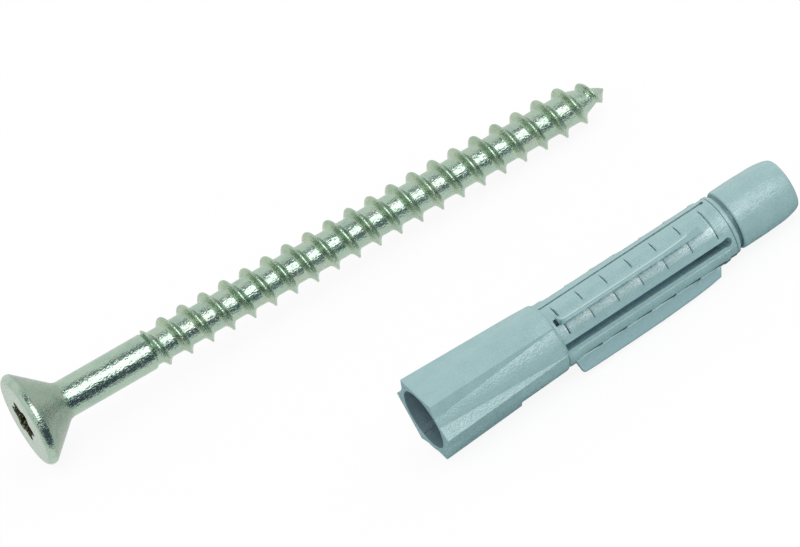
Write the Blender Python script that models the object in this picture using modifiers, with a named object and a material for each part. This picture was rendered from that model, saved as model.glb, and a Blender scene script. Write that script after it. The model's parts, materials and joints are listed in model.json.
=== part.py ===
"""A moulded nylon wall plug and its zinc plated countersunk wood screw.

The two lie side by side on a flat surface, the plug in front. Each is one solid:
the screw is cold headed and thread rolled, the plug is moulded in one shot.
"""

import math

import bmesh
import bpy
from mathutils import Matrix, Vector

MM = 0.001

# Screw: overall sizes
SCREW_LENGTH = 80.0 * MM
SCREW_STEPS = 24

# Screw: countersunk head
HEAD_DIAMETER = 11.9 * MM
HEAD_EDGE_RADIUS = 0.75 * MM
HEAD_CONE_HALF_ANGLE = math.radians(41.5)
HEAD_NECK_FILLET = 1.3 * MM
HEAD_RIM_STEPS = 6
HEAD_FILLET_STEPS = 4

# Screw: six lobe driving recess
RECESS_DIAMETER = 4.5 * MM
RECESS_LOBE_DEPTH = 0.6 * MM
RECESS_DEPTH = 2.8 * MM
RECESS_LOBES = 6
RECESS_STEPS_PER_LOBE = 8

# Screw: plain shank and rolled thread
SHANK_DIAMETER = 4.62 * MM
SHANK_END = 17.3 * MM
SHANK_END_BEVEL = 0.45 * MM
THREAD_DIAMETER = 5.84 * MM
THREAD_CORE_DIAMETER = 4.04 * MM
THREAD_PITCH = 2.885 * MM
THREAD_CREST_WIDTH = 0.14 * MM
THREAD_FLANK_WIDTH = 0.55 * MM
THREAD_KNEE_HEIGHT = 0.38
THREAD_RUNOUT = 1.2 * MM
POINT_LENGTH = 4.4 * MM
POINT_THREAD_LENGTH = 4.7 * MM
POINT_ROUNDNESS = 0.7

# Plug: overall sizes
PLUG_LENGTH = 51.4 * MM
PLUG_STEPS = 48

# Plug: lobed collar at the mouth
COLLAR_LENGTH = 17.9 * MM
COLLAR_DIAMETER = 8.86 * MM
COLLAR_END_RADIUS = 0.5 * MM
LOBE_COUNT = 3
LOBE_RADIUS = 5.4 * MM
LOBE_HALF_ANGLE = math.radians(35.0)
LOBE_SIDE_ANGLE = math.radians(17.4)
LOBE_END_SHARE = 0.02

# Plug: slotted body, neck and tip ring
BODY_DIAMETER = 7.76 * MM
BODY_END = 42.6 * MM
BODY_END_CHAMFER = 0.5 * MM
NECK_DIAMETER = 6.76 * MM
NECK_WIDTH = 0.55 * MM
RING_DIAMETER = 7.62 * MM
RING_EDGE = 0.4 * MM
RING_TAPER_LENGTH = 2.0 * MM
RING_TAPER_BULGE = 0.15
RING_END_DIAMETER = 6.3 * MM
RING_END_EDGE = 0.2 * MM
CORNER_STEPS = 3

# Plug: expansion slots between the legs
LEG_COUNT = 4
SLOT_WIDTH = 0.78 * MM
SLOT_START_GAP = 0.15 * MM
SLOT_END = 41.5 * MM
SLOT_EYE_WIDTH = 1.0 * MM
SLOT_EYE_LENGTH = 1.3 * MM

# Plug: saw tooth barbs on the legs
BARB_COUNT = 7
BARB_START = 19.25 * MM
BARB_PITCH = 3.5 * MM
BARB_BASE = 0.05 * MM
BARB_HEIGHT = 0.17 * MM
BARB_ZONE_ANGLE = math.radians(56.0)
BARB_STEPS = 8
BARB_TAIL = 0.6 * MM
BARB_ROOT = 0.7 * MM

# Plug: anti-turn fins, on three of the four legs
FIN_ANGLES = (0.0, math.radians(90.0), math.radians(-90.0))
FIN_THICKNESS = 0.62 * MM
FIN_START = 18.45 * MM
FIN_END = 39.6 * MM
FIN_FRONT_RADIUS = 5.75 * MM
FIN_MIDDLE_RADIUS = 5.88 * MM
FIN_REAR_RADIUS = 5.25 * MM
FIN_CORNER = 0.45 * MM
FIN_REAR_CHAMFER = 0.8 * MM
FIN_ROOT = 1.2 * MM

# Plug: stepped bore for the screw
BORE_MOUTH_DIAMETER = 7.68 * MM
BORE_STEP_DEPTH = 6.0 * MM
BORE_STEP_DIAMETER = 6.9 * MM
BORE_FUNNEL_LENGTH = 17.0 * MM
BORE_DIAMETER = 3.6 * MM
BORE_TIP_DIAMETER = 2.8 * MM

# How the two pieces lie: rolled about their axes, and the plug's mouth from the screw's face
SCREW_ROLL = math.radians(-10.4)
PLUG_ROLL = math.radians(131.0)
PLUG_YAW = math.radians(4.67)
PLUG_OFFSET = Vector((33.9 * MM, -43.8 * MM, 0.0))

# Finishes: colour, metallic, roughness, and the edge angle that stays sharp
ZINC = ((0.42, 0.47, 0.42), 1.0, 0.3)
ZINC_SHARP_ANGLE = math.radians(35.0)
NYLON = ((0.32, 0.49, 0.5), 0.0, 0.5)
NYLON_SHARP_ANGLE = math.radians(30.0)

# Small lengths used to keep cuts clean
OVERCUT = 1.0 * MM
WELD = 0.002 * MM

COLLECTION = "wall_plug_with_screw"
CUTTERS = "cutters"


def clear_scene():
    for thing in list(bpy.data.objects):
        bpy.data.objects.remove(thing, do_unlink=True)
    for mesh in list(bpy.data.meshes):
        bpy.data.meshes.remove(mesh)


def new_collection(name):
    collection = bpy.data.collections.new(name)
    bpy.context.scene.collection.children.link(collection)
    return collection


def make_material(name, colour, metallic, roughness):
    material = bpy.data.materials.new(name)
    material.use_nodes = True
    shader = material.node_tree.nodes["Principled BSDF"]
    shader.inputs["Base Color"].default_value = (*colour, 1.0)
    shader.inputs["Metallic"].default_value = metallic
    shader.inputs["Roughness"].default_value = roughness
    return material


def mesh_object(name, mesh, collection):
    thing = bpy.data.objects.new(name, mesh)
    collection.objects.link(thing)
    return thing


def wire_object(name, points, collection):
    """An open chain of edges through the points, in order."""
    mesh = bpy.data.meshes.new(name)
    edges = [(i, i + 1) for i in range(len(points) - 1)]
    mesh.from_pydata(points, edges, [])
    return mesh_object(name, mesh, collection)


def as_mesh(thing):
    """Replace an object with the welded mesh that its modifiers or curve give."""
    depsgraph = bpy.context.evaluated_depsgraph_get()
    mesh = bpy.data.meshes.new_from_object(thing.evaluated_get(depsgraph))
    build = bmesh.new()
    build.from_mesh(mesh)
    bmesh.ops.remove_doubles(build, verts=build.verts, dist=WELD)
    bmesh.ops.dissolve_degenerate(build, edges=build.edges, dist=WELD)
    build.to_mesh(mesh)
    build.free()
    name = thing.name
    home = thing.users_collection[0]
    place = thing.matrix_world.copy()
    bpy.data.objects.remove(thing, do_unlink=True)
    solid = mesh_object(name, mesh, home)
    solid.matrix_world = place
    return solid


def add_screw_modifier(thing, steps, angle=math.tau):
    spin = thing.modifiers.new("Turn", "SCREW")
    spin.axis = "Z"
    spin.angle = angle
    spin.steps = steps
    spin.render_steps = steps
    spin.use_merge_vertices = True
    spin.merge_threshold = WELD
    return spin


def turned(name, outline, steps, collection):
    """A solid of revolution about Z; the outline runs from top to bottom."""
    points = [(radius, 0.0, -depth) for depth, radius in outline]
    wire = wire_object(name, points, collection)
    add_screw_modifier(wire, steps)
    return as_mesh(wire)


def flat_plate(name, outline, thickness, collection):
    """A plate cut from a flat outline, with its thickness centred on the XY plane."""
    curve = bpy.data.curves.new(name, "CURVE")
    curve.dimensions = "2D"
    curve.fill_mode = "BOTH"
    curve.extrude = thickness / 2
    spline = curve.splines.new("POLY")
    spline.points.add(len(outline) - 1)
    for point, (x, y) in zip(spline.points, outline):
        point.co = (x, y, 0.0, 1.0)
    spline.use_cyclic_u = True
    plate = bpy.data.objects.new(name, curve)
    collection.objects.link(plate)
    return as_mesh(plate)


def hide_cutter(cutter):
    cutter.hide_render = True
    cutter.display_type = "WIRE"


def boolean(target, operand, operation):
    """Join or cut with a helper object, which stays in the cutters collection."""
    hide_cutter(operand)
    cut = target.modifiers.new(operand.name, "BOOLEAN")
    cut.operation = operation
    cut.solver = "EXACT"
    cut.object = operand


def arc(centre_x, centre_y, radius, start, end, count):
    points = []
    for i in range(count + 1):
        angle = start + (end - start) * i / count
        points.append((centre_x + radius * math.cos(angle), centre_y + radius * math.sin(angle)))
    return points


def head_outline():
    """Depth and radius of the head and shank, from the face down to the thread."""
    edge_centre = HEAD_DIAMETER / 2 - HEAD_EDGE_RADIUS
    outline = [(0.0, 0.0), (0.0, edge_centre)]
    rim = arc(HEAD_EDGE_RADIUS, edge_centre, HEAD_EDGE_RADIUS, math.pi,
              math.pi / 2 - HEAD_CONE_HALF_ANGLE, HEAD_RIM_STEPS)
    outline += rim[1:]
    cone_depth, cone_radius = rim[-1]
    shank = SHANK_DIAMETER / 2
    # The fillet touches the cone and the shank, so its centre sits one radius off both
    centre_radius = shank + HEAD_NECK_FILLET
    touch_radius = centre_radius - HEAD_NECK_FILLET * math.cos(HEAD_CONE_HALF_ANGLE)
    touch_depth = cone_depth + (cone_radius - touch_radius) / math.tan(HEAD_CONE_HALF_ANGLE)
    centre_depth = touch_depth + HEAD_NECK_FILLET * math.sin(HEAD_CONE_HALF_ANGLE)
    outline += arc(centre_depth, centre_radius, HEAD_NECK_FILLET,
                   -math.pi / 2 - HEAD_CONE_HALF_ANGLE, -math.pi / 2, HEAD_FILLET_STEPS)
    outline.append((SHANK_END - SHANK_END_BEVEL, shank))
    outline.append((SHANK_END, THREAD_CORE_DIAMETER / 2))
    return outline


def thread_profile():
    """One pitch of the thread: depth from the crest and share of the full height."""
    half_crest = THREAD_CREST_WIDTH / 2
    foot = half_crest + THREAD_FLANK_WIDTH
    knee = half_crest + THREAD_FLANK_WIDTH / 2
    return [(-foot, 0.0), (-knee, THREAD_KNEE_HEIGHT), (-half_crest, 1.0),
            (half_crest, 1.0), (knee, THREAD_KNEE_HEIGHT), (foot, 0.0)]


def point_share(distance, length):
    """How much of its radius the screw keeps at a distance from its tip."""
    if distance >= length:
        return 1.0
    return max(distance / length, 0.0) ** POINT_ROUNDNESS


def thread_mesh(collection):
    """The rolled thread, from the end of the shank to the point.

    A one pitch profile is swept as a helix that is longer than the screw. Then each
    point is brought between the shank and the tip, and gets its run-out and taper.
    """
    core = THREAD_CORE_DIAMETER / 2
    height = THREAD_DIAMETER / 2 - core
    profile = thread_profile()
    turns = math.ceil((SCREW_LENGTH - SHANK_END) / THREAD_PITCH) + 2
    top = SHANK_END - THREAD_PITCH
    points = [(core + height * share, 0.0, -(top + depth)) for depth, share in profile]
    points.append((core, 0.0, -(top + THREAD_PITCH + profile[0][0])))
    sweep = wire_object("thread", points, collection)
    # A turn backwards with a fall gives a right hand thread
    spin = add_screw_modifier(sweep, SCREW_STEPS, -math.tau)
    spin.iterations = turns
    spin.screw_offset = -THREAD_PITCH
    thread = as_mesh(sweep)
    for vertex in thread.data.vertices:
        x, y, z = vertex.co
        share = (math.hypot(x, y) - core) / height
        depth = min(max(-z, SHANK_END), SCREW_LENGTH)
        to_tip = SCREW_LENGTH - depth
        growth = min((depth - SHANK_END) / THREAD_RUNOUT, 1.0)
        root = core * point_share(to_tip, POINT_LENGTH)
        crest = THREAD_DIAMETER / 2 * point_share(to_tip, POINT_THREAD_LENGTH)
        radius = root + (crest - root) * share * math.sqrt(growth)
        angle = math.atan2(y, x)
        vertex.co = (radius * math.cos(angle), radius * math.sin(angle), -depth)
    return thread


def recess_outline():
    """Six round lobes, as a smooth wave about the mean radius."""
    mean = (RECESS_DIAMETER - RECESS_LOBE_DEPTH) / 2
    wave = RECESS_LOBE_DEPTH / 2
    count = RECESS_LOBES * RECESS_STEPS_PER_LOBE
    outline = []
    for i in range(count):
        angle = math.tau * i / count
        radius = mean + wave * math.cos(RECESS_LOBES * angle)
        outline.append((radius * math.cos(angle), radius * math.sin(angle)))
    return outline


def make_screw(parts, cutters):
    """Head, shank and thread welded into one skin, then the recess sunk in the face."""
    head = turned("head", head_outline(), SCREW_STEPS, parts)
    thread = thread_mesh(parts)
    build = bmesh.new()
    build.from_mesh(head.data)
    build.from_mesh(thread.data)
    bmesh.ops.remove_doubles(build, verts=build.verts, dist=WELD)
    bmesh.ops.dissolve_degenerate(build, edges=build.edges, dist=WELD)
    bmesh.ops.triangulate(build, faces=build.faces)
    bmesh.ops.recalc_face_normals(build, faces=build.faces)
    skin = bpy.data.meshes.new("screw")
    build.to_mesh(skin)
    build.free()
    bpy.data.objects.remove(head, do_unlink=True)
    bpy.data.objects.remove(thread, do_unlink=True)
    screw = mesh_object("screw", skin, parts)
    cutter = flat_plate("recess_cutter", recess_outline(), 2 * RECESS_DEPTH, cutters)
    boolean(screw, cutter, "DIFFERENCE")
    return screw


def collar_section(depth, inset):
    """Angles and radii round the collar at one depth; inset shrinks its end edge."""
    core = COLLAR_DIAMETER / 2
    share = max(1.0 - depth / COLLAR_LENGTH, LOBE_END_SHARE)
    ridge = core + (LOBE_RADIUS - core) * share
    tangent = math.acos(core / ridge)
    section = []
    for lobe in range(LOBE_COUNT):
        middle = math.tau * lobe / LOBE_COUNT
        gap = math.tau / LOBE_COUNT - 2 * LOBE_HALF_ANGLE
        foot = LOBE_HALF_ANGLE + LOBE_SIDE_ANGLE * share
        section.append((middle - foot, core))
        section.append((middle - LOBE_HALF_ANGLE, ridge))
        inner = max(LOBE_HALF_ANGLE - tangent, 0.0)
        for step in (-1.0, -0.5, 0.0, 0.5, 1.0):
            spread = inner + (LOBE_HALF_ANGLE - inner) * (1.0 - share) / 2
            section.append((middle + spread * step, core))
        section.append((middle + LOBE_HALF_ANGLE, ridge))
        section.append((middle + foot, core))
        open_gap = gap - 2 * LOBE_SIDE_ANGLE * share
        for step in (1, 2):
            section.append((middle + foot + open_gap * step / 3, core))
    return [(angle, radius - inset) for angle, radius in section]


def make_collar(parts):
    """Lobed at the mouth and round at its far end: a loft between unlike sections."""
    edge = COLLAR_END_RADIUS
    straight = COLLAR_LENGTH - edge
    stations = [(0.0, 0.0), (straight, 0.0)]
    for step in range(1, CORNER_STEPS + 1):
        angle = math.pi / 2 * step / CORNER_STEPS
        stations.append((straight + edge * math.sin(angle), edge * (1.0 - math.cos(angle))))
    build = bmesh.new()
    rings = []
    for depth, inset in stations:
        ring = []
        for angle, radius in collar_section(depth, inset):
            ring.append(build.verts.new((radius * math.cos(angle), radius * math.sin(angle), -depth)))
        rings.append(ring)
    count = len(rings[0])
    for upper, lower in zip(rings, rings[1:]):
        for i in range(count):
            j = (i + 1) % count
            build.faces.new((upper[i], lower[i], lower[j], upper[j]))
    build.faces.new(rings[0])
    build.faces.new(list(reversed(rings[-1])))
    bmesh.ops.triangulate(build, faces=build.faces)
    bmesh.ops.recalc_face_normals(build, faces=build.faces)
    mesh = bpy.data.meshes.new("wall_plug")
    build.to_mesh(mesh)
    build.free()
    return mesh_object("wall_plug", mesh, parts)


def trunk_outline():
    """Body, neck groove and tip ring; the top end is buried in the collar."""
    body = BODY_DIAMETER / 2
    neck = NECK_DIAMETER / 2
    ring = RING_DIAMETER / 2
    tip = RING_END_DIAMETER / 2
    buried = COLLAR_LENGTH - 2 * OVERCUT
    ring_start = BODY_END + NECK_WIDTH
    taper_start = PLUG_LENGTH - RING_TAPER_LENGTH
    outline = [(buried, 0.0), (buried, body)]
    outline.append((BODY_END - BODY_END_CHAMFER, body))
    outline.append((BODY_END, neck))
    outline.append((ring_start, neck))
    outline += arc(ring_start + RING_EDGE, ring - RING_EDGE, RING_EDGE,
                   math.pi, math.pi / 2, CORNER_STEPS)
    outline.append((taper_start, ring))
    outline.append((taper_start + RING_TAPER_LENGTH / 2,
                    (ring + tip) / 2 + (ring - tip) * RING_TAPER_BULGE))
    outline += arc(PLUG_LENGTH - RING_END_EDGE, tip - RING_END_EDGE, RING_END_EDGE,
                   math.pi / 2, 0.0, CORNER_STEPS)
    outline.append((PLUG_LENGTH, 0.0))
    return outline


def barb_outline():
    """Teeth with a steep side to the mouth and a long slope to the tip."""
    low = BODY_DIAMETER / 2 + BARB_BASE
    high = BODY_DIAMETER / 2 + BARB_HEIGHT
    inside = BODY_DIAMETER / 2 - BARB_ROOT
    outline = [(BARB_START, inside)]
    for tooth in range(BARB_COUNT):
        start = BARB_START + BARB_PITCH * tooth
        last = tooth == BARB_COUNT - 1
        end = start + (BARB_TAIL if last else BARB_PITCH)
        outline.append((start, high))
        outline.append((end, low))
    outline.append((outline[-1][0], inside))
    return outline


def barb_strip(name, collection):
    """The row of teeth on one leg: the outline turned through the leg's barbed zone."""
    points = [(radius, 0.0, -depth) for depth, radius in barb_outline()]
    wire = wire_object(name, points + points[:1], collection)
    add_screw_modifier(wire, BARB_STEPS, BARB_ZONE_ANGLE)
    strip = as_mesh(wire)
    build = bmesh.new()
    build.from_mesh(strip.data)
    bmesh.ops.holes_fill(build, edges=build.edges, sides=0)
    bmesh.ops.triangulate(build, faces=build.faces)
    bmesh.ops.recalc_face_normals(build, faces=build.faces)
    build.to_mesh(strip.data)
    build.free()
    return strip


def leg_angle(leg):
    return math.tau * leg / LEG_COUNT


def slot_outline():
    """Depth and half width of a slot, which ends in a small pointed eye."""
    start = COLLAR_LENGTH + SLOT_START_GAP
    half = SLOT_WIDTH / 2
    eye = SLOT_EYE_WIDTH / 2
    shoulder = SLOT_END - SLOT_EYE_LENGTH
    widest = SLOT_END - SLOT_EYE_LENGTH / 2
    side = [(start, half), (shoulder, half), (widest, eye)]
    other_side = [(depth, -width) for depth, width in reversed(side)]
    return side + [(SLOT_END, 0.0)] + other_side


def fin_outline():
    """Depth and radius of a fin: round at the front, sloped off at the rear."""
    root = BODY_DIAMETER / 2 - FIN_ROOT
    outline = [(FIN_START, root)]
    outline += arc(FIN_START + FIN_CORNER, FIN_FRONT_RADIUS - FIN_CORNER, FIN_CORNER,
                   math.pi, math.pi / 2, CORNER_STEPS)
    outline.append(((FIN_START + FIN_END) / 2, FIN_MIDDLE_RADIUS))
    outline.append((FIN_END - FIN_REAR_CHAMFER, FIN_REAR_RADIUS))
    outline.append((FIN_END, BODY_DIAMETER / 2))
    outline.append((FIN_END, root))
    return outline


def bore_outline():
    """Wide mouth that narrows to the screw guide and again to the tip."""
    mouth = BORE_MOUTH_DIAMETER / 2
    guide = BORE_DIAMETER / 2
    tip = BORE_TIP_DIAMETER / 2
    return [(-OVERCUT, 0.0), (-OVERCUT, mouth), (0.0, mouth),
            (BORE_STEP_DEPTH, BORE_STEP_DIAMETER / 2), (BORE_FUNNEL_LENGTH, guide),
            (BODY_END, guide), (BODY_END + NECK_WIDTH, tip),
            (PLUG_LENGTH + OVERCUT, tip), (PLUG_LENGTH + OVERCUT, 0.0)]


def make_plug(parts, cutters):
    """Collar, trunk, teeth and fins joined, then the bore and the slots cut through."""
    plug = make_collar(parts)
    trunk = turned("trunk", trunk_outline(), PLUG_STEPS, cutters)
    boolean(plug, trunk, "UNION")

    for leg in range(LEG_COUNT):
        strip = barb_strip(f"barb_strip_{leg + 1}", cutters)
        strip.matrix_world = Matrix.Rotation(leg_angle(leg) - BARB_ZONE_ANGLE / 2, 4, "Z")
        boolean(plug, strip, "UNION")

    # A fin's outline runs along the plug and out from it
    for i, angle in enumerate(FIN_ANGLES):
        fin = flat_plate(f"fin_{i + 1}", fin_outline(), FIN_THICKNESS, cutters)
        upright = Matrix(((0, 1, 0, 0), (0, 0, -1, 0), (-1, 0, 0, 0), (0, 0, 0, 1)))
        fin.matrix_world = Matrix.Rotation(angle, 4, "Z") @ upright
        boolean(plug, fin, "UNION")

    bore = turned("bore_cutter", bore_outline(), PLUG_STEPS, cutters)
    boolean(plug, bore, "DIFFERENCE")

    # A slot's outline runs along the plug and round it, and goes in one side and out the other
    for pair in range(LEG_COUNT // 2):
        slot = flat_plate(f"slot_cutter_{pair + 1}", slot_outline(), 3 * BODY_DIAMETER, cutters)
        flat = Matrix(((0, 0, 1, 0), (0, 1, 0, 0), (-1, 0, 0, 0), (0, 0, 0, 1)))
        angle = leg_angle(pair) + leg_angle(1) / 2
        slot.matrix_world = Matrix.Rotation(angle, 4, "Z") @ flat
        boolean(plug, slot, "DIFFERENCE")
    return plug


def apply_modifiers(thing):
    """Keep the finished solid, triangulated, as the object's own mesh."""
    depsgraph = bpy.context.evaluated_depsgraph_get()
    mesh = bpy.data.meshes.new_from_object(thing.evaluated_get(depsgraph))
    build = bmesh.new()
    build.from_mesh(mesh)
    bmesh.ops.remove_doubles(build, verts=build.verts, dist=WELD)
    bmesh.ops.dissolve_degenerate(build, edges=build.edges, dist=WELD)
    bmesh.ops.triangulate(build, faces=build.faces)
    build.to_mesh(mesh)
    build.free()
    thing.modifiers.clear()
    thing.data = mesh


def centroid(mesh):
    """Centre of mass of a closed triangle mesh."""
    volume = 0.0
    moment = Vector((0.0, 0.0, 0.0))
    for face in mesh.polygons:
        a, b, c = (mesh.vertices[i].co for i in face.vertices)
        part = a.dot(b.cross(c)) / 6
        volume += part
        moment += part * (a + b + c) / 4
    return moment / volume


def lying(roll, lean):
    """From the upright piece to one that lies along +X: turned, then leaned on its axis."""
    laid = Matrix.Rotation(math.radians(-90.0), 3, "Y")
    return Matrix.Rotation(lean, 3, "Y") @ Matrix.Rotation(roll, 3, "X") @ laid


def rest_height(points, middle, turn):
    lowest = min((turn @ point).z for point in points)
    return (turn @ middle).z - lowest


def come_to_rest(thing, roll, free_roll):
    """Find where the piece lies still: the lowest centre of mass near the given roll."""
    points = [vertex.co.copy() for vertex in thing.data.vertices]
    middle = centroid(thing.data)
    lean = 0.0
    step = math.radians(2.0)
    best = rest_height(points, middle, lying(roll, lean))
    while step > math.radians(0.01):
        moves = [(0.0, step), (0.0, -step)]
        if free_roll:
            moves += [(step, 0.0), (-step, 0.0)]
        improved = False
        for roll_move, lean_move in moves:
            height = rest_height(points, middle, lying(roll + roll_move, lean + lean_move))
            if height < best:
                best = height
                roll += roll_move
                lean += lean_move
                improved = True
                break
        if not improved:
            step /= 2
    return lying(roll, lean)


def place(thing, turn, yaw, offset):
    turn = Matrix.Rotation(yaw, 3, "Z") @ turn
    lowest = min((turn @ vertex.co).z for vertex in thing.data.vertices)
    thing.matrix_world = Matrix.Translation(offset + Vector((0.0, 0.0, -lowest))) @ turn.to_4x4()


def centre_on_origin(pieces):
    """Put the middle of the pair's footprint at the origin."""
    corners = [piece.matrix_world @ vertex.co for piece in pieces for vertex in piece.data.vertices]
    middle = Vector((0.0, 0.0, 0.0))
    for axis in (0, 1):
        values = [corner[axis] for corner in corners]
        middle[axis] = (min(values) + max(values)) / 2
    for piece in pieces:
        piece.matrix_world = Matrix.Translation(-middle) @ piece.matrix_world


def shade(thing, material, sharp_angle):
    thing.data.materials.clear()
    thing.data.materials.append(material)
    thing.data.shade_smooth()
    thing.data.set_sharp_from_angle(angle=sharp_angle)


def main():
    clear_scene()
    parts = new_collection(COLLECTION)
    cutters = new_collection(CUTTERS)
    zinc = make_material("zinc_plated_steel", *ZINC)
    nylon = make_material("grey_nylon", *NYLON)

    screw = make_screw(parts, cutters)
    apply_modifiers(screw)
    shade(screw, zinc, ZINC_SHARP_ANGLE)
    plug = make_plug(parts, cutters)
    apply_modifiers(plug)
    shade(plug, nylon, NYLON_SHARP_ANGLE)

    place(screw, come_to_rest(screw, SCREW_ROLL, False), 0.0, Vector((0.0, 0.0, 0.0)))
    place(plug, come_to_rest(plug, PLUG_ROLL, True), PLUG_YAW, PLUG_OFFSET)
    centre_on_origin([screw, plug])


main()
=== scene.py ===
"""Looks for a zinc plated wood screw and its grey nylon wall plug, lying on a pale floor."""

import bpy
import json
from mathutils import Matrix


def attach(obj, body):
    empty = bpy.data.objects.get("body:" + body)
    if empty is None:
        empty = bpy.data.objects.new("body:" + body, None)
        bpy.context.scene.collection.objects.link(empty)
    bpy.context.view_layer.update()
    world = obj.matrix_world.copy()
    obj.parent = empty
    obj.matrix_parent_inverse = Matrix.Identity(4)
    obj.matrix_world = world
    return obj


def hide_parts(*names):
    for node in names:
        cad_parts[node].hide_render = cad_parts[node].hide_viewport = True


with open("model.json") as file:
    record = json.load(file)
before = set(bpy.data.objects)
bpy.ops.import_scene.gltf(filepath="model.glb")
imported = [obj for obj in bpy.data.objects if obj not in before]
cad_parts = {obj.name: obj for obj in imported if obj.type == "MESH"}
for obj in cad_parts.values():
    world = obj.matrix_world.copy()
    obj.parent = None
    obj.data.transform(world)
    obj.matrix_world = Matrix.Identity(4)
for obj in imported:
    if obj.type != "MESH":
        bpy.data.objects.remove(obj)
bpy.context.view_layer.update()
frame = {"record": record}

import json
import math

import bmesh
import bpy
from mathutils import Matrix, Vector, noise


# The screw
# A countersunk wood screw of drawn steel wire. The head and its recess are struck cold,
# the thread is rolled up out of the blank, and the whole is barrel plated with zinc.
MM = 0.001
SCREW_LENGTH = 80.0 * MM
SCREW_SIDES = 120
SCREW_ROLL = math.radians(-10.4)
# Radius and angle of the spot on the head's face where its mount lies
HEAD_MOUNT_SPOT = (3.9 * MM, math.radians(45.0))
HEAD_RADIUS = 5.95 * MM
HEAD_EDGE_RADIUS = 0.78 * MM
HEAD_CONE_HALF_ANGLE = math.radians(41.5)
HEAD_NECK_FILLET = 1.35 * MM
HEAD_CONE_END = 6.0 * MM
HEAD_FACE_RINGS = (3.0, 3.5, 4.1, 4.6)
HEAD_SWELL = 0.012 * MM
HEAD_SWELL_SIZE = 1.6 * MM
HEAD_SWELL_SEED = 3.0
# Share of the head's painted shade that falls on its face
FACE_PAINTED_SHADE = 0.3
SHANK_RADIUS = 2.31 * MM
SHANK_END = 17.3 * MM
SHANK_FADE = 0.5 * MM
# Rounding of the shank's end in mm: distance before the end, and below the shank's radius
SHANK_SHOULDER = ((0.38, 0.03), (0.2, 0.15), (0.06, 0.25))
CORE_RADIUS = 2.02 * MM
CREST_RADIUS = 2.92 * MM
CREST_SWELL = 0.05 * MM
CREST_SWELL_SIZE = 2.4 * MM
CREST_SWELL_SEED = 8.0
CORE_SWELL = 0.018 * MM
CORE_SWELL_SIZE = 0.9 * MM
CORE_SWELL_SEED = 5.0
THREAD_PITCH = 2.885 * MM
THREAD_ONSET = 15.2 * MM
THREAD_RUN_IN = 2.9 * MM
THREAD_LEAD_FACE = 0.25 * MM
# Half of the rolled thread: distance from the crest in mm, and share of the thread's height
THREAD_SIDE = ((0.06, 0.995), (0.11, 0.96), (0.15, 0.89), (0.19, 0.78), (0.26, 0.62),
               (0.36, 0.42), (0.48, 0.22), (0.6, 0.08), (0.72, 0.015), (0.82, 0.0))
THREAD_ROOT = ((1.02, 0.0), (1.24, 0.0), (1.45, 0.0), (1.66, 0.0), (1.87, 0.0))
THREAD_PROFILE = ([(-across, share) for across, share in reversed(THREAD_SIDE)]
                  + [(0.0, 1.0)] + list(THREAD_SIDE) + list(THREAD_ROOT))
POINT_LENGTH = 4.4 * MM
POINT_ROUNDNESS = 0.7
POINT_THREAD_LENGTH = 4.7 * MM
POINT_THREAD_ROUNDNESS = 0.5
RECESS_MEAN_RADIUS = 2.2 * MM
RECESS_WAVE = 0.33 * MM
RECESS_LOBES = 6
RECESS_OFF_CENTRE = (0.186 * MM, 0.074 * MM)
# The struck recess from its bottom up: depth in mm, and share of its width
RECESS_PROFILE = ((3.5, 0.02), (3.3, 0.25), (3.0, 0.6), (2.8, 0.82), (2.6, 0.9), (2.0, 0.93),
                  (1.2, 0.95), (0.6, 0.97), (0.2, 0.99), (0.06, 1.01), (0.0, 1.05))


def piece_place(mount_name, spot_radius, spot_angle, roll):
    """Where a piece lies: its axis and its end face come from the mount on that face."""
    mount = next(m for m in frame["record"]["mounts"] if m["name"] == mount_name)
    normal = Vector(mount["axis"])
    lean = math.asin(normal.z)
    yaw = math.atan2(-normal.y, -normal.x)
    turn = Matrix.Rotation(yaw, 4, "Z") @ Matrix.Rotation(lean, 4, "Y")
    turn = turn @ Matrix.Rotation(roll, 4, "X") @ Matrix.Rotation(-math.pi / 2, 4, "Y")
    spot = spot_radius * Vector((math.cos(spot_angle), math.sin(spot_angle), 0.0))
    return Matrix.Translation(Vector(mount["pos_m"]) - turn @ spot) @ turn


def arc(centre_depth, centre_radius, radius, start, end, count):
    """Points on an arc as (depth, radius), both ends included."""
    turns = [start + (end - start) * i / count for i in range(count + 1)]
    return [(centre_depth + radius * math.cos(turn), centre_radius + radius * math.sin(turn))
            for turn in turns]


def smooth_step(value, low, high):
    """0 below the low limit, 1 above the high one, and a soft rise between them."""
    t = min(max((value - low) / (high - low), 0.0), 1.0)
    return t * t * (3.0 - 2.0 * t)


def wobble(x, y, z, size, seed):
    """Smooth unevenness between about -1 and 1, with features of the given size."""
    return noise.noise(Vector((x / size + seed, y / size, z / size)))


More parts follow.
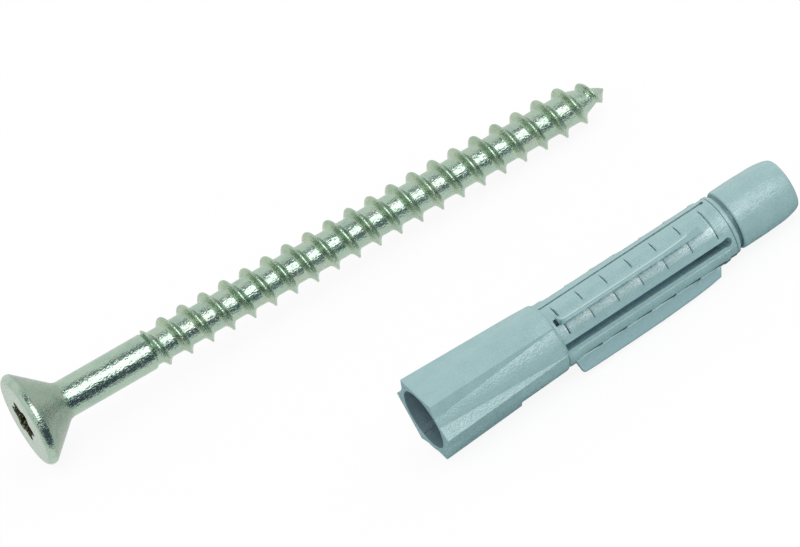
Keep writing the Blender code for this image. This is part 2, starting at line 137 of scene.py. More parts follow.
def head_outline():
    """Face, rim, cone and shank from the recess outwards, as (depth, radius)."""
    outline = [(0.0, radius * MM) for radius in HEAD_FACE_RINGS]
    rim = arc(HEAD_EDGE_RADIUS, HEAD_RADIUS - HEAD_EDGE_RADIUS, HEAD_EDGE_RADIUS, math.pi,
              math.pi / 2 - HEAD_CONE_HALF_ANGLE, 14)
    fillet_radius = SHANK_RADIUS + HEAD_NECK_FILLET
    touch_radius = fillet_radius - HEAD_NECK_FILLET * math.cos(HEAD_CONE_HALF_ANGLE)
    cone_depth, cone_radius = rim[-1]
    cone_length = (cone_radius - touch_radius) / math.tan(HEAD_CONE_HALF_ANGLE)
    cone = [(cone_depth + cone_length * i / 10, cone_radius + (touch_radius - cone_radius) * i / 10)
            for i in range(1, 10)]
    fillet_depth = cone_depth + cone_length + HEAD_NECK_FILLET * math.sin(HEAD_CONE_HALF_ANGLE)
    fillet = arc(fillet_depth, fillet_radius, HEAD_NECK_FILLET,
                 -math.pi / 2 - HEAD_CONE_HALF_ANGLE, -math.pi / 2, 10)
    neck = fillet[-1][0]
    shank = [(neck + (SHANK_END - SHANK_FADE - neck) * i / 24, SHANK_RADIUS) for i in range(1, 25)]
    shoulder = [(SHANK_END - before * MM, SHANK_RADIUS - below * MM)
                for before, below in SHANK_SHOULDER]
    return outline + rim + cone + fillet + shank + shoulder


def head_rows():
    """Rings of points from the recess's bottom over the head to the thread's core."""
    turns = [-math.tau * i / SCREW_SIDES for i in range(SCREW_SIDES)]
    lobed = [RECESS_MEAN_RADIUS + RECESS_WAVE * math.cos(RECESS_LOBES * turn) for turn in turns]
    rings = [(depth * MM, [share * radius for radius in lobed], RECESS_OFF_CENTRE)
             for depth, share in RECESS_PROFILE]
    rings += [(depth, [radius] * SCREW_SIDES, (0.0, 0.0)) for depth, radius in head_outline()]
    rows = []
    for depth, radii, (off_x, off_y) in rings:
        even = min(depth / MM, 1.0) * smooth_step(SHANK_END - depth, 0.0, SHANK_FADE)
        row = []
        for turn, radius in zip(turns, radii):
            x, y = math.cos(turn), math.sin(turn)
            swell = wobble(x * radius, y * radius, depth, HEAD_SWELL_SIZE, HEAD_SWELL_SEED)
            far = radius + swell * HEAD_SWELL * even
            row.append((x * far + off_x, y * far + off_y, -depth))
        rows.append(row)
    rows.append([(CORE_RADIUS * math.cos(turn), CORE_RADIUS * math.sin(turn), -SHANK_END)
                 for turn in turns])
    return rows


def point_share(distance, length, roundness):
    """How much of its radius the screw keeps at a distance from its tip."""
    if distance >= length:
        return 1.0
    return max(distance / length, 0.0) ** roundness


def thread_point(angle, pitch_depth, share):
    """One point of the thread's skin, between the shank's end and the tip."""
    depth = min(max(pitch_depth, SHANK_END), SCREW_LENGTH)
    to_tip = SCREW_LENGTH - depth
    grown = 1.0 - math.exp(-(depth - THREAD_ONSET) / THREAD_RUN_IN)
    root = CORE_RADIUS * point_share(to_tip, POINT_LENGTH, POINT_ROUNDNESS)
    crest = SHANK_RADIUS + (CREST_RADIUS - SHANK_RADIUS) * grown
    crest *= point_share(to_tip, POINT_THREAD_LENGTH, POINT_THREAD_ROUNDNESS)
    x, y = math.cos(angle), math.sin(angle)
    even = smooth_step(depth, SHANK_END, SHANK_END + MM) * smooth_step(to_tip, 0.0, 3.0 * MM)
    crest += (wobble(x * crest, y * crest, depth, CREST_SWELL_SIZE, CREST_SWELL_SEED)
              * CREST_SWELL * even)
    root += wobble(x * root, y * root, depth, CORE_SWELL_SIZE, CORE_SWELL_SEED) * CORE_SWELL * even
    lead_face = 1.0
    if pitch_depth < depth:
        lead_face = max(1.0 - (depth - pitch_depth) / THREAD_LEAD_FACE, 0.0)
    radius = root + (crest - root) * share * lead_face
    return (x * radius, y * radius, -depth)


def add_points(build, rows):
    """New points in rows."""
    return [[build.verts.new(point) for point in row] for row in rows]


def join_rings(build, rings):
    """Faces between rings of points that lie one after the other."""
    for upper, lower in zip(rings, rings[1:]):
        for i in range(len(upper)):
            j = (i + 1) % len(upper)
            build.faces.new((upper[i], lower[i], lower[j], upper[j]))


def weld(build, distance):
    """Joins points that meet, and clears what has no area or no face."""
    bmesh.ops.remove_doubles(build, verts=build.verts, dist=distance)
    bmesh.ops.dissolve_degenerate(build, edges=build.edges, dist=0.0005 * MM)
    loose = [vertex for vertex in build.verts if not vertex.link_faces]
    bmesh.ops.delete(build, geom=loose, context="VERTS")


def closed_mesh(build, name):
    """The finished skin as a mesh, with every face turned to the outside."""
    bmesh.ops.recalc_face_normals(build, faces=build.faces)
    if build.calc_volume(signed=True) < 0.0:
        bmesh.ops.reverse_faces(build, faces=build.faces)
    mesh = bpy.data.meshes.new(name)
    build.to_mesh(mesh)
    build.free()
    return mesh


def screw_mesh():
    """The head's rings and the swept thread, welded into one skin."""
    build = bmesh.new()
    head = add_points(build, head_rows())
    join_rings(build, head)
    build.faces.new(head[0])

    start = SHANK_END - THREAD_PITCH
    turns = math.ceil((SCREW_LENGTH - SHANK_END) / THREAD_PITCH) + 2
    steps = turns * SCREW_SIDES
    rows = []
    for step in range(steps + 1):
        angle = -math.tau * step / SCREW_SIDES
        depth = start + THREAD_PITCH * step / SCREW_SIDES
        rows.append([build.verts.new(thread_point(angle, depth + across * MM, share))
                     for across, share in THREAD_PROFILE])
    for step in range(steps):
        here, after = rows[step], rows[step + 1]
        for j in range(len(THREAD_PROFILE) - 1):
            build.faces.new((here[j], here[j + 1], after[j + 1], after[j]))
        if step + SCREW_SIDES + 1 <= steps:
            below, below_after = rows[step + SCREW_SIDES], rows[step + SCREW_SIDES + 1]
            build.faces.new((here[-1], below[0], below_after[0], after[-1]))
    weld(build, 0.002 * MM)
    return closed_mesh(build, "zinc_screw")


def add_thing(name, data):
    """A new object in the scene."""
    thing = bpy.data.objects.new(name, data)
    bpy.context.scene.collection.objects.link(thing)
    return thing


def add_piece(name, mesh, place, sharp_angle):
    """A finished piece: its mesh brought to its place in the frame, and smooth shaded."""
    mesh.transform(place)
    mesh.shade_smooth()
    mesh.set_sharp_from_angle(angle=sharp_angle)
    return add_thing(name, mesh)


def tag(piece, place, name, value_of, domain):
    """Keeps a number on every point or face, worked out in the piece's own frame."""
    inverse = place.inverted()
    turn_back = inverse.to_3x3()
    mesh = piece.data
    layer = mesh.attributes.new(name, "FLOAT", domain)
    if domain == "FACE":
        spots = [(face.center, face.normal) for face in mesh.polygons]
    else:
        spots = [(vertex.co, vertex.normal) for vertex in mesh.vertices]
    for (spot, normal), item in zip(spots, layer.data):
        item.value = value_of(inverse @ spot, turn_back @ normal)


def thread_flank(point, normal):
    """1 on the thread's flanks that face the head, 0 elsewhere."""
    on_thread = smooth_step(-point.z, SHANK_END, SHANK_END + MM)
    return on_thread * smooth_step(normal.z, 0.25, 0.7)


def rolled_stretch(point, normal):
    """1 on the rough rolled stretch, 0 on the smooth shank and head."""
    return smooth_step(-point.z, SHANK_END - 0.3 * MM, SHANK_END + 0.3 * MM)


def head_painted_shade(point, normal):
    """1 on the head's cone, which is painted darker than the shank as shade for the dark surroundings
    it reflects, and part of it on the face.
    """
    depth = -point.z
    cone = smooth_step(depth, 0.7 * MM, 1.2 * MM)
    cone *= smooth_step(HEAD_CONE_END - depth, 0.0, 1.3 * MM)
    return max(cone, FACE_PAINTED_SHADE * smooth_step(0.3 * MM - depth, 0.0, 0.2 * MM))


def recess_wall(point, normal):
    """1 inside the driver recess, 0 elsewhere."""
    in_reach = 0.02 * MM < -point.z < 3.6 * MM and math.hypot(point.x, point.y) < 2.85 * MM
    return 1.0 if in_reach else 0.0


screw_place = piece_place("screw_head_face", *HEAD_MOUNT_SPOT, SCREW_ROLL)
zinc_screw = add_piece("zinc_screw", screw_mesh(), screw_place, math.radians(40.0))
tag(zinc_screw, screw_place, "flank", thread_flank, "POINT")
tag(zinc_screw, screw_place, "rolled", rolled_stretch, "POINT")
tag(zinc_screw, screw_place, "painted_head_shade", head_painted_shade, "POINT")
# The recess mask carries painted shade and painted glints, as well as extra roughness
tag(zinc_screw, screw_place, "recess", recess_wall, "FACE")


def node_at(tree, kind, x, y, **settings):
    """A new shader node with its settings."""
    node = tree.nodes.new(kind)
    node.location = (x, y)
    for name, value in settings.items():
        setattr(node, name, value)
    return node


def set_sockets(node, values):
    """Sets a node's plain inputs by name."""
    for name, value in values.items():
        node.inputs[name].default_value = value


def worked_out(tree, x, y, operation, *values):
    """A calculation with numbers and other nodes' outputs."""
    node = node_at(tree, "ShaderNodeMath", x, y, operation=operation)
    for socket, value in zip(node.inputs, values):
        if isinstance(value, float):
            socket.default_value = value
        else:
            tree.links.new(value, socket)
    return node.outputs[0]


def spread(tree, x, y, source, limits, results):
    """A value between two limits, mapped onto two results."""
    node = node_at(tree, "ShaderNodeMapRange", x, y)
    set_sockets(node, {"From Min": limits[0], "From Max": limits[1],
                       "To Min": results[0], "To Max": results[1]})
    tree.links.new(source, node.inputs["Value"])
    return node.outputs["Result"]


def ramped(tree, x, y, source, *stops):
    """A value turned into a colour by stops of position and colour."""
    ramp = node_at(tree, "ShaderNodeValToRGB", x, y)
    elements = ramp.color_ramp.elements
    while len(elements) < len(stops):
        elements.new(0.5)
    for element, (position, colour) in zip(elements, stops):
        element.position = position
        element.color = colour
    tree.links.new(source, ramp.inputs["Fac"])
    return ramp.outputs["Color"]


def tag_mask(tree, x, y, name):
    """The number that the piece keeps on its points or faces."""
    return node_at(tree, "ShaderNodeAttribute", x, y, attribute_name=name).outputs["Fac"]


def laid_over(tree, x, y, mask, under, over, **settings):
    """One colour over another where a mask is 1. Each is a colour or a node's output."""
    node = node_at(tree, "ShaderNodeMix", x, y, data_type="RGBA", **settings)
    tree.links.new(mask, node.inputs["Factor"])
    for name, colour in (("A", under), ("B", over)):
        if isinstance(colour, tuple):
            node.inputs[name].default_value = colour
        else:
            tree.links.new(colour, node.inputs[name])
    return node.outputs["Result"]


def bumped(tree, shader, height, distance):
    """Gives a shader its fine relief."""
    bump = node_at(tree, "ShaderNodeBump", -300, -300)
    set_sockets(bump, {"Strength": 1.0, "Distance": distance})
    tree.links.new(height, bump.inputs["Height"])
    tree.links.new(bump.outputs["Normal"], shader.inputs["Normal"])


def uneven_group():
    """Node group: patches and fine pits at given sizes, for colour, gloss and bump."""
    group = bpy.data.node_groups.new("uneven_surface", "ShaderNodeTree")
    for name, value in (("Patch Size mm", 2.0), ("Pit Size mm", 0.2), ("Pit Weight", 0.5),
                        ("Stretch", 1.0)):
        group.interface.new_socket(name, in_out="INPUT", socket_type="NodeSocketFloat")
        group.interface.items_tree[name].default_value = value
    for name in ("Patch", "Pit", "Height"):
        group.interface.new_socket(name, in_out="OUTPUT", socket_type="NodeSocketFloat")
    entry = node_at(group, "NodeGroupInput", -900, 0)
    leave = node_at(group, "NodeGroupOutput", 500, 0)
    spot = node_at(group, "ShaderNodeTexCoord", -900, 300)
    millimetres = node_at(group, "ShaderNodeVectorMath", -700, 300, operation="SCALE")
    millimetres.inputs["Scale"].default_value = 1.0 / MM
    along = node_at(group, "ShaderNodeCombineXYZ", -700, 100)
    set_sockets(along, {"Y": 1.0, "Z": 1.0})
    stretched = node_at(group, "ShaderNodeVectorMath", -500, 300, operation="MULTIPLY")
    group.links.new(spot.outputs["Object"], millimetres.inputs[0])
    group.links.new(entry.outputs["Stretch"], along.inputs["X"])
    group.links.new(millimetres.outputs[0], stretched.inputs[0])
    group.links.new(along.outputs[0], stretched.inputs[1])
    made = {}
    for name, size, detail, y in (("Patch", "Patch Size mm", 3.0, 200),
                                  ("Pit", "Pit Size mm", 2.0, -100)):
        cloud = node_at(group, "ShaderNodeTexNoise", -300, y)
        cloud.inputs["Detail"].default_value = detail
        per_mm = worked_out(group, -500, y - 100, "DIVIDE", 1.0, entry.outputs[size])
        group.links.new(stretched.outputs[0], cloud.inputs["Vector"])
        group.links.new(per_mm, cloud.inputs["Scale"])
        group.links.new(cloud.outputs["Fac"], leave.inputs[name])
        made[name] = cloud.outputs["Fac"]
    height = worked_out(group, 0, -100, "MULTIPLY_ADD", made["Pit"], entry.outputs["Pit Weight"],
                        made["Patch"])
    group.links.new(height, leave.inputs["Height"])
    return group


uneven_surface = uneven_group()

ZINC_PALE = (0.41, 0.54, 0.435, 1.0)
ZINC_GREY = (0.36, 0.475, 0.39, 1.0)
ZINC_WARM = (0.44, 0.52, 0.425, 1.0)
ZINC_OLIVE = (0.32, 0.42, 0.28, 1.0)
ZINC_STRAW = (0.41, 0.52, 0.36, 1.0)
# Darker tone multiplied in as painted shade on the head's cone and face
ZINC_PAINTED_SHADE = (0.69, 0.7, 0.68, 1.0)
# Painted shade and painted glints for the inside of the driver recess
RECESS_PAINTED_SHADE = (0.05, 0.052, 0.035, 1.0)
RECESS_PAINTED_GLINT = (0.45, 0.47, 0.26, 1.0)
FLANK_TINT = 0.7
ZINC_ROUGHNESS = (0.17, 0.27)
ZINC_PIT_LIMITS = (0.54, 0.68)
ZINC_PIT_ROUGHER = (0.0, 0.26)
ROLLED_ROUGHER = 0.03
RECESS_ROUGHER = 0.3
ROLLED_COARSER = 0.2
ZINC_RELIEF = 0.06 * MM


def start_material(name):
    """A new material, its node tree and its shader."""
    material = bpy.data.materials.new(name)
    material.use_nodes = True
    return material, material.node_tree, material.node_tree.nodes["Principled BSDF"]


def zinc_material():
    """Bright zinc: uneven gloss, faint olive and straw tints, an orange peel skin, painted shade on the
    head's cone, and painted shade with painted glints in the recess.
    """
    material, tree, shader = start_material("bright_zinc")
    shader.inputs["Metallic"].default_value = 1.0
    skin = node_at(tree, "ShaderNodeGroup", -1100, 0, node_tree=uneven_surface)
    set_sockets(skin, {"Patch Size mm": 1.7, "Pit Size mm": 0.2, "Pit Weight": 0.85, "Stretch": 0.6})
    patch, pit = skin.outputs["Patch"], skin.outputs["Pit"]
    flank = tag_mask(tree, -1100, 300, "flank")
    painted_head_shade = tag_mask(tree, -1100, 500, "painted_head_shade")
    rolled = tag_mask(tree, -1100, -300, "rolled")
    recess = tag_mask(tree, -1100, 900, "recess")

    colour = ramped(tree, -800, 300, patch, (0.34, ZINC_GREY), (0.5, ZINC_PALE), (0.68, ZINC_WARM))
    tint = ramped(tree, -800, 600, patch, (0.4, ZINC_OLIVE), (0.66, ZINC_STRAW))
    tinted = worked_out(tree, -800, 850, "MULTIPLY", flank, FLANK_TINT)
    colour = laid_over(tree, -500, 400, tinted, colour, tint)
    # Painted shade: the cone and the face's edge are darkened where they would reflect dark
    # surroundings
    colour = laid_over(tree, -380, 200, painted_head_shade, colour, ZINC_PAINTED_SHADE, blend_type="MULTIPLY")
    # The recess is painted dark, with painted glints on the pits, in place of the shade and light in
    # its hollow
    painted_glint = ramped(tree, -800, 1050, pit, (0.54, RECESS_PAINTED_SHADE), (0.66, RECESS_PAINTED_GLINT))
    colour = laid_over(tree, -250, 500, recess, colour, painted_glint)
    tree.links.new(colour, shader.inputs["Base Color"])

    roughness = spread(tree, -800, -100, patch, (0.0, 1.0), ZINC_ROUGHNESS)
    pitted = spread(tree, -800, -500, pit, ZINC_PIT_LIMITS, ZINC_PIT_ROUGHER)
    roughness = worked_out(tree, -650, -100, "ADD", roughness, pitted)
    roughness = worked_out(tree, -500, -100, "MULTIPLY_ADD", rolled, ROLLED_ROUGHER, roughness)
    roughness = worked_out(tree, -250, -100, "MULTIPLY_ADD", recess, RECESS_ROUGHER, roughness)
    tree.links.new(roughness, shader.inputs["Roughness"])

    coarser = worked_out(tree, -700, -300, "MULTIPLY_ADD", rolled, ROLLED_COARSER, 1.0)
    height = worked_out(tree, -500, -300, "MULTIPLY", skin.outputs["Height"], coarser)
    bumped(tree, shader, height, ZINC_RELIEF)
    return material


zinc_screw.data.materials.append(zinc_material())
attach(zinc_screw, "root")
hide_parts("screw")


# The wall plug
# One shot of grey nylon. A three lobed collar at the mouth grips the wall's face, four
# slotted legs with saw teeth spread when the screw goes in, and a plain ring holds them.
PLUG_LENGTH = 51.4 * MM
PLUG_ROLL = math.radians(133.63)
# Radius and angle of the spot on the mouth's face where its mount lies
MOUTH_MOUNT_SPOT = (4.15 * MM, math.radians(60.0))
MOUTH_EDGE = 0.1 * MM
COLLAR_LENGTH = 17.9 * MM
COLLAR_RADIUS = 4.45 * MM
COLLAR_TAPER_START = 14.5 * MM
COLLAR_TAPER = 0.08 * MM
COLLAR_END_RADIUS = 0.5 * MM
COLLAR_ROWS = 22
RIDGE_RADIUS = 5.42 * MM
RIDGE_SIDE_ANGLE = 17.4
RIDGE_SINK = 0.94
# Angle of each ridge, and the side on which its steep flank lies
RIDGES = ((35.0, 1.0), (85.0, -1.0), (155.0, 1.0), (205.0, -1.0), (275.0, 1.0), (338.0, -1.0))
LOW_RIDGE = 338.0
LOW_RIDGE_END = 10.9 * MM
LOW_RIDGE_LESS = 0.05 * MM
LOW_RIDGE_FALL = 0.0402
LOW_RIDGE_REST = 0.16 * MM
BODY_RADIUS = 3.88 * MM
BODY_START_RISE = 0.04 * MM
BODY_END = 42.5 * MM
BODY_SAG = 0.1 * MM
BODY_SAG_ANGLE = math.radians(-14.0)
# The legs by their angle: the keel's, the two with side fins, and the bare one on top
KEEL_LEG = 0.0
FRONT_LEG = 90.0
TOP_LEG = 180.0
HIDDEN_LEG = 270.0
LEGS = (KEEL_LEG, FRONT_LEG, TOP_LEG, HIDDEN_LEG)
SIDE_LEGS = (FRONT_LEG, HIDDEN_LEG)
# Where a fin's two sides stand across its leg, in mm, at its root and at its edge
FIN_ROOT = {KEEL_LEG: (-0.31, 0.31), FRONT_LEG: (-0.4, 0.78), TOP_LEG: (-0.31, 0.31),
            HIDDEN_LEG: (-0.78, 0.4)}
FIN_EDGE = {KEEL_LEG: (-0.27, 0.27), FRONT_LEG: (-0.79, -0.33), TOP_LEG: (-0.27, 0.27),
            HIDDEN_LEG: (0.33, 0.79)}
FIN_HALF = 0.31 * MM
FIN_FULL_RADIUS = 5.8 * MM
HIDDEN_FIN_SHORTER = 0.3 * MM
NOSE_LENGTH = 0.4 * MM
NOSE_SIDE = 0.7
NOSE_LEAST_SQUARE = 0.04
FIN_START = 18.72 * MM
FIN_END = 40.0 * MM
# Radius of a fin's outer edge at depths along the plug, both in mm
KEEL_LINE = ((18.72, 5.38), (18.78, 5.52), (18.88, 5.63), (19.1, 5.7), (20.5, 5.73), (26.0, 5.72),
             (30.0, 5.67), (32.0, 5.60), (35.0, 5.48), (37.0, 5.33), (38.75, 5.11), (39.6, 3.9),
             (40.0, 3.8))
SIDE_FIN_LINE = ((18.72, 5.0), (18.8, 5.3), (18.95, 5.5), (19.2, 5.68), (20.5, 5.78), (30.0, 5.78),
                 (33.0, 5.68), (35.0, 5.45), (37.0, 4.98), (38.5, 4.5), (39.5, 4.1), (40.0, 3.9))
# Across a fin: side in shares of its half width, and height in shares of the fin's own
FIN_SIDE = ((0.45, 1.0), (0.68, 0.99), (0.86, 0.965), (0.96, 0.91), (1.0, 0.5), (1.03, 0.1),
            (1.1, 0.03), (1.25, 0.0), (1.4, 0.0), (1.55, 0.0), (1.62, 0.0), (1.8, 0.0))
FIN_COLUMNS = ([(-side, height) for side, height in reversed(FIN_SIDE)]
               + [(0.0, 1.0)] + list(FIN_SIDE))
# Columns of points on either side of each leg's middle, in degrees
LEG_COLUMNS = (9.0, 11.0, 13.5, 16.0, 18.5, 21.0, 23.0, 24.5, 26.0, 26.8, 28.0, 29.2, 30.2, 31.5,
               33.5, 36.0, 37.4, 38.4, 39.6, 41.5, 43.5)
COLUMN_GAP = 0.8
TOOTH_COUNT = 7
TOOTH_START = 19.25 * MM
TOOTH_PITCH = 3.5 * MM
TOOTH_BASE = 0.11 * MM
TOOTH_HUMP = 0.1 * MM
TOOTH_FALL = 0.5 * MM
TOOTH_ZONE = 28.0
TOOTH_ZONE_END = 32.0
TOOTH_ZONE_FADE = 10.0
LAST_TOOTH_LENGTH = 0.7 * MM
TOP_LEG_START_RISE = 0.28 * MM
TOP_LEG_WORN_TOOTH = 3
TOP_LEG_WEAR = 0.12 * MM
KEEL_LEG_START_RISE = 0.24 * MM
KEEL_LEG_WELT = 0.06 * MM
KEEL_LEG_WELT_WIDTH = 1.3
FIN_GROOVE_DEPTH = 0.05 * MM
FIN_GROOVE_END = 37.0 * MM
NOTCH_DEPTH = 0.26 * MM
NOTCH_WIDTH = 0.13 * MM
NOTCH_WALL = 0.012 * MM
NOTCH_REACH = 27.0
LOW_NOTCH_REACH = 23.0
NOTCH_RUN_OUT = 6.0
POCKET_DEPTH = 0.35 * MM
POCKET_START = 18.32 * MM
POCKET_FULL = 18.42 * MM
POCKET_HALF_WIDTH = 6.8
POCKET_OFF = 2.0
CRACK_INNER = 0.02 * MM
CRACK_OUTER = 0.42 * MM
# Side of a crack at the keel's root: place in a tooth's pitch, and radius in mm
CRACK_LINE = ((0.3, 3.93), (0.5, 3.85), (0.95, 3.85), (0.95, 4.07), (0.86, 4.13), (0.7, 4.07),
              (0.5, 4.03), (0.3, 4.0))
BORE_MOUTH_RADIUS = 3.84 * MM
BORE_STEP_DEPTH = 6.0 * MM
BORE_STEP_RADIUS = 3.45 * MM
BORE_FUNNEL = 17.0 * MM
BORE_RADIUS = 1.8 * MM
BORE_TIP_RADIUS = 1.4 * MM
BORE_RIB = 0.3 * MM
BORE_RIB_ANGLE = 9.0
SLOT_START = 18.05 * MM
SLOT_END = 41.6 * MM
SLOT_EYE_WIDER = 0.13 * MM
SLOT_EYE_TURNS = (-0.6, -0.2, 0.2, 0.6, 1.0, 1.35)
# Each slot: angle of its middle on the outside, way that its cut runs, and half its width
SLOTS = ((42.9, 60.0, 0.44), (137.0, 140.0, 0.18), (223.0, 220.0, 0.18), (317.1, 300.0, 0.44))
# Neck and ring from the legs' end on: depth and radius in mm
NECK_LINE = ((42.03, 3.72), (42.1, 3.72), (42.12, 3.8), (42.5, 3.78), (42.68, 3.6), (42.78, 3.42),
             (42.84, 3.28), (43.15, 3.28), (43.17, 3.52), (43.22, 3.66), (43.32, 3.75),
             (43.45, 3.79), (43.6, 3.8), (44.6, 3.8), (45.6, 3.8), (46.4, 3.8), (47.1, 3.78),
             (47.8, 3.75), (48.6, 3.73), (49.2, 3.69), (49.7, 3.63), (50.2, 3.54), (50.6, 3.45),
             (50.9, 3.36), (51.1, 3.28), (51.25, 3.19), (51.35, 3.08), (51.4, 2.95))


def off_angle(angle, middle):
    """Signed difference between two angles in degrees, from -180 to 180."""
    return (angle - middle + 180.0) % 360.0 - 180.0


def nearest_leg(angle):
    """The leg on which an angle lies."""
    return min(LEGS, key=lambda middle: abs(off_angle(angle, middle)))


def line_value(line, depth):
    """Straight between the points of a line of (depth, radius), given in mm."""
    place = depth / MM
    if place <= line[0][0]:
        return line[0][1] * MM
    for (low, low_value), (high, high_value) in zip(line, line[1:]):
        if place <= high:
            return (low_value + (high_value - low_value) * (place - low) / (high - low)) * MM
    return line[-1][1] * MM


def collar_core(depth):
    """Radius of the collar between its ridges."""
    return COLLAR_RADIUS - COLLAR_TAPER * smooth_step(depth, COLLAR_TAPER_START, COLLAR_LENGTH)


def ridge_radius(ridge_angle, depth):
    """Ridges sink evenly to the collar's end; the lowest one is cut off before it."""
    core = collar_core(depth)
    if ridge_angle == LOW_RIDGE:
        if depth <= LOW_RIDGE_END:
            return RIDGE_RADIUS - LOW_RIDGE_LESS - LOW_RIDGE_FALL * depth
        left = (COLLAR_LENGTH - depth) / (COLLAR_LENGTH - LOW_RIDGE_END)
        return core + LOW_RIDGE_REST * max(left, 0.0)
    left = max(1.0 - RIDGE_SINK * depth / COLLAR_LENGTH, 0.0)
    return core + (RIDGE_RADIUS - COLLAR_RADIUS) * left


def flank_foot(ridge_angle, depth):
    """Angle from a ridge to the foot of its steep flank."""
    rise = ridge_radius(ridge_angle, depth) - collar_core(depth)
    return RIDGE_SIDE_ANGLE * rise / (RIDGE_RADIUS - COLLAR_RADIUS)


def collar_radius(angle, depth):
    """Round core with six ridges: a long flat on one side of each, a steep one on the other."""
    core = collar_core(depth)
    best = core
    for ridge_angle, side in RIDGES:
        ridge = ridge_radius(ridge_angle, depth)
        away = math.radians(off_angle(angle, ridge_angle) * side)
        foot = math.radians(flank_foot(ridge_angle, depth))
        if away <= 0.0:
            tangent = math.acos(min(core / ridge, 1.0))
            if -away < tangent:
                best = max(best, core / math.cos(tangent + away))
        elif away < foot:
            # Straight from the ridge to the foot of its flank, in polar form
            across = ridge * core * math.sin(foot)
            reach = ridge * math.sin(away) + core * math.sin(foot - away)
            best = max(best, across / reach)
    return best


def beside_fin(angle, leg):
    """Angle outwards from the root of a leg's fin, negative within the root."""
    low, high = (math.degrees(math.asin(side * MM / BODY_RADIUS)) for side in FIN_ROOT[leg])
    off = off_angle(angle, leg)
    return max(off - high, low - off)


def lower_half(off, leg):
    """Whether an angle off a side leg's middle lies on the half towards the keel."""
    return (off < 0.0) == (leg == FRONT_LEG)


def fin_groove(angle, leg):
    """Depth of the fine groove along the lower side of a side fin's root."""
    beside = beside_fin(angle, leg) if lower_half(off_angle(angle, leg), leg) else -1.0
    return FIN_GROOVE_DEPTH * smooth_step(beside, 0.3, 0.6) * smooth_step(2.0 - beside, 0.0, 0.5)


def notch_cut(angle, leg, depth, nearest):
    """Depth of the thin cut that runs round a side leg just before a tooth."""
    before = TOOTH_START + TOOTH_PITCH * nearest - depth
    beside = beside_fin(angle, leg)
    last = nearest == TOOTH_COUNT - 1
    if not 0.0 < before < NOTCH_WIDTH or (beside < 0.0 and not last):
        return 0.0
    wall = min(before, NOTCH_WIDTH - before) / NOTCH_WALL
    low_side = lower_half(off_angle(angle, leg), leg)
    reach = LOW_NOTCH_REACH if low_side and not last else NOTCH_REACH
    return NOTCH_DEPTH * min(wall, 1.0) * smooth_step(reach - beside, 0.0, NOTCH_RUN_OUT)


def tooth_height(angle, depth):
    """Saw teeth on each leg, less the grooves and thin cuts of the side legs."""
    leg = nearest_leg(angle)
    off = off_angle(angle, leg)
    zone = smooth_step(TOOTH_ZONE_END - abs(off), 0.0, TOOTH_ZONE_FADE)
    along = (depth - TOOTH_START) / TOOTH_PITCH
    tooth = math.floor(along + 1e-6)
    past = (along - tooth) * TOOTH_PITCH
    in_last = tooth == TOOTH_COUNT - 1 and past < LAST_TOOTH_LENGTH
    height = 0.0
    if 0 <= tooth < TOOTH_COUNT - 1 or in_last:
        height = TOOTH_BASE + TOOTH_HUMP * math.exp(-past / TOOTH_FALL)
    cut = 0.0
    if leg == TOP_LEG:
        if tooth < 0:
            height = TOP_LEG_START_RISE
        elif tooth >= TOP_LEG_WORN_TOOTH:
            height -= TOP_LEG_WEAR
    elif leg == KEEL_LEG:
        if tooth < 0:
            height = KEEL_LEG_START_RISE
        else:
            cut = -KEEL_LEG_WELT * max(1.0 - abs(abs(off) - TOOTH_ZONE) / KEEL_LEG_WELT_WIDTH, 0.0)
    else:
        if FIN_START < depth < FIN_GROOVE_END:
            cut = fin_groove(angle, leg)
        nearest = round(along)
        if 0 <= nearest < TOOTH_COUNT:
            cut = max(cut, notch_cut(angle, leg, depth, nearest))
    return height * zone - cut


def body_radius(angle, depth):
    """Legs with their teeth and the pockets before the side fins, then the neck and the ring."""
    if depth > NECK_LINE[0][0] * MM - 0.01 * MM:
        return line_value(NECK_LINE, depth)
    radius = BODY_RADIUS + tooth_height(angle, depth)
    leg = nearest_leg(angle)
    if leg in SIDE_LEGS:
        middle = POCKET_OFF if leg == FRONT_LEG else -POCKET_OFF
        across = abs(off_angle(angle, leg) - middle)
        pocket = smooth_step(depth, POCKET_START, POCKET_FULL)
        pocket *= smooth_step(POCKET_HALF_WIDTH - across, 0.0, 2.0)
        radius -= POCKET_DEPTH * pocket * smooth_step(FIN_START - depth, 0.0, 0.04 * MM)
    return radius


def fin_across(leg, side, lean):
    """Place of a column across its leg, as the blade leans from its root to its edge."""
    inner = min(max(side, -1.0), 1.0)
    share = (inner + 1.0) / 2
    root = FIN_ROOT[leg][0] + (FIN_ROOT[leg][1] - FIN_ROOT[leg][0]) * share
    edge = FIN_EDGE[leg][0] + (FIN_EDGE[leg][1] - FIN_EDGE[leg][0]) * share
    return (root + (edge - root) * lean) * MM + (side - inner) * FIN_HALF


def column_angle(leg, side):
    """Angle at which a fin's column stands on its leg."""
    return (leg + math.degrees(math.asin(fin_across(leg, side, 0.0) / BODY_RADIUS))) % 360.0


def plug_columns():
    """What each column of points round the plug follows: an angle, or a place on a fin."""
    angles = set()
    for leg in LEGS:
        for off in LEG_COLUMNS:
            angles.update(((leg + off) % 360.0, (leg - off) % 360.0))
        angles.add((leg + 45.0) % 360.0)
    widest = FIN_SIDE[-1][0]
    columns = []
    for angle in angles:
        leg = nearest_leg(angle)
        low = off_angle(column_angle(leg, -widest), leg)
        high = off_angle(column_angle(leg, widest), leg)
        if not low - COLUMN_GAP < off_angle(angle, leg) < high + COLUMN_GAP:
            columns.append((angle, None))
    for leg in LEGS:
        columns += [(column_angle(leg, side), (leg, side, height)) for side, height in FIN_COLUMNS]
    return sorted(columns, key=lambda column: column[0])


PLUG_COLUMNS = plug_columns()


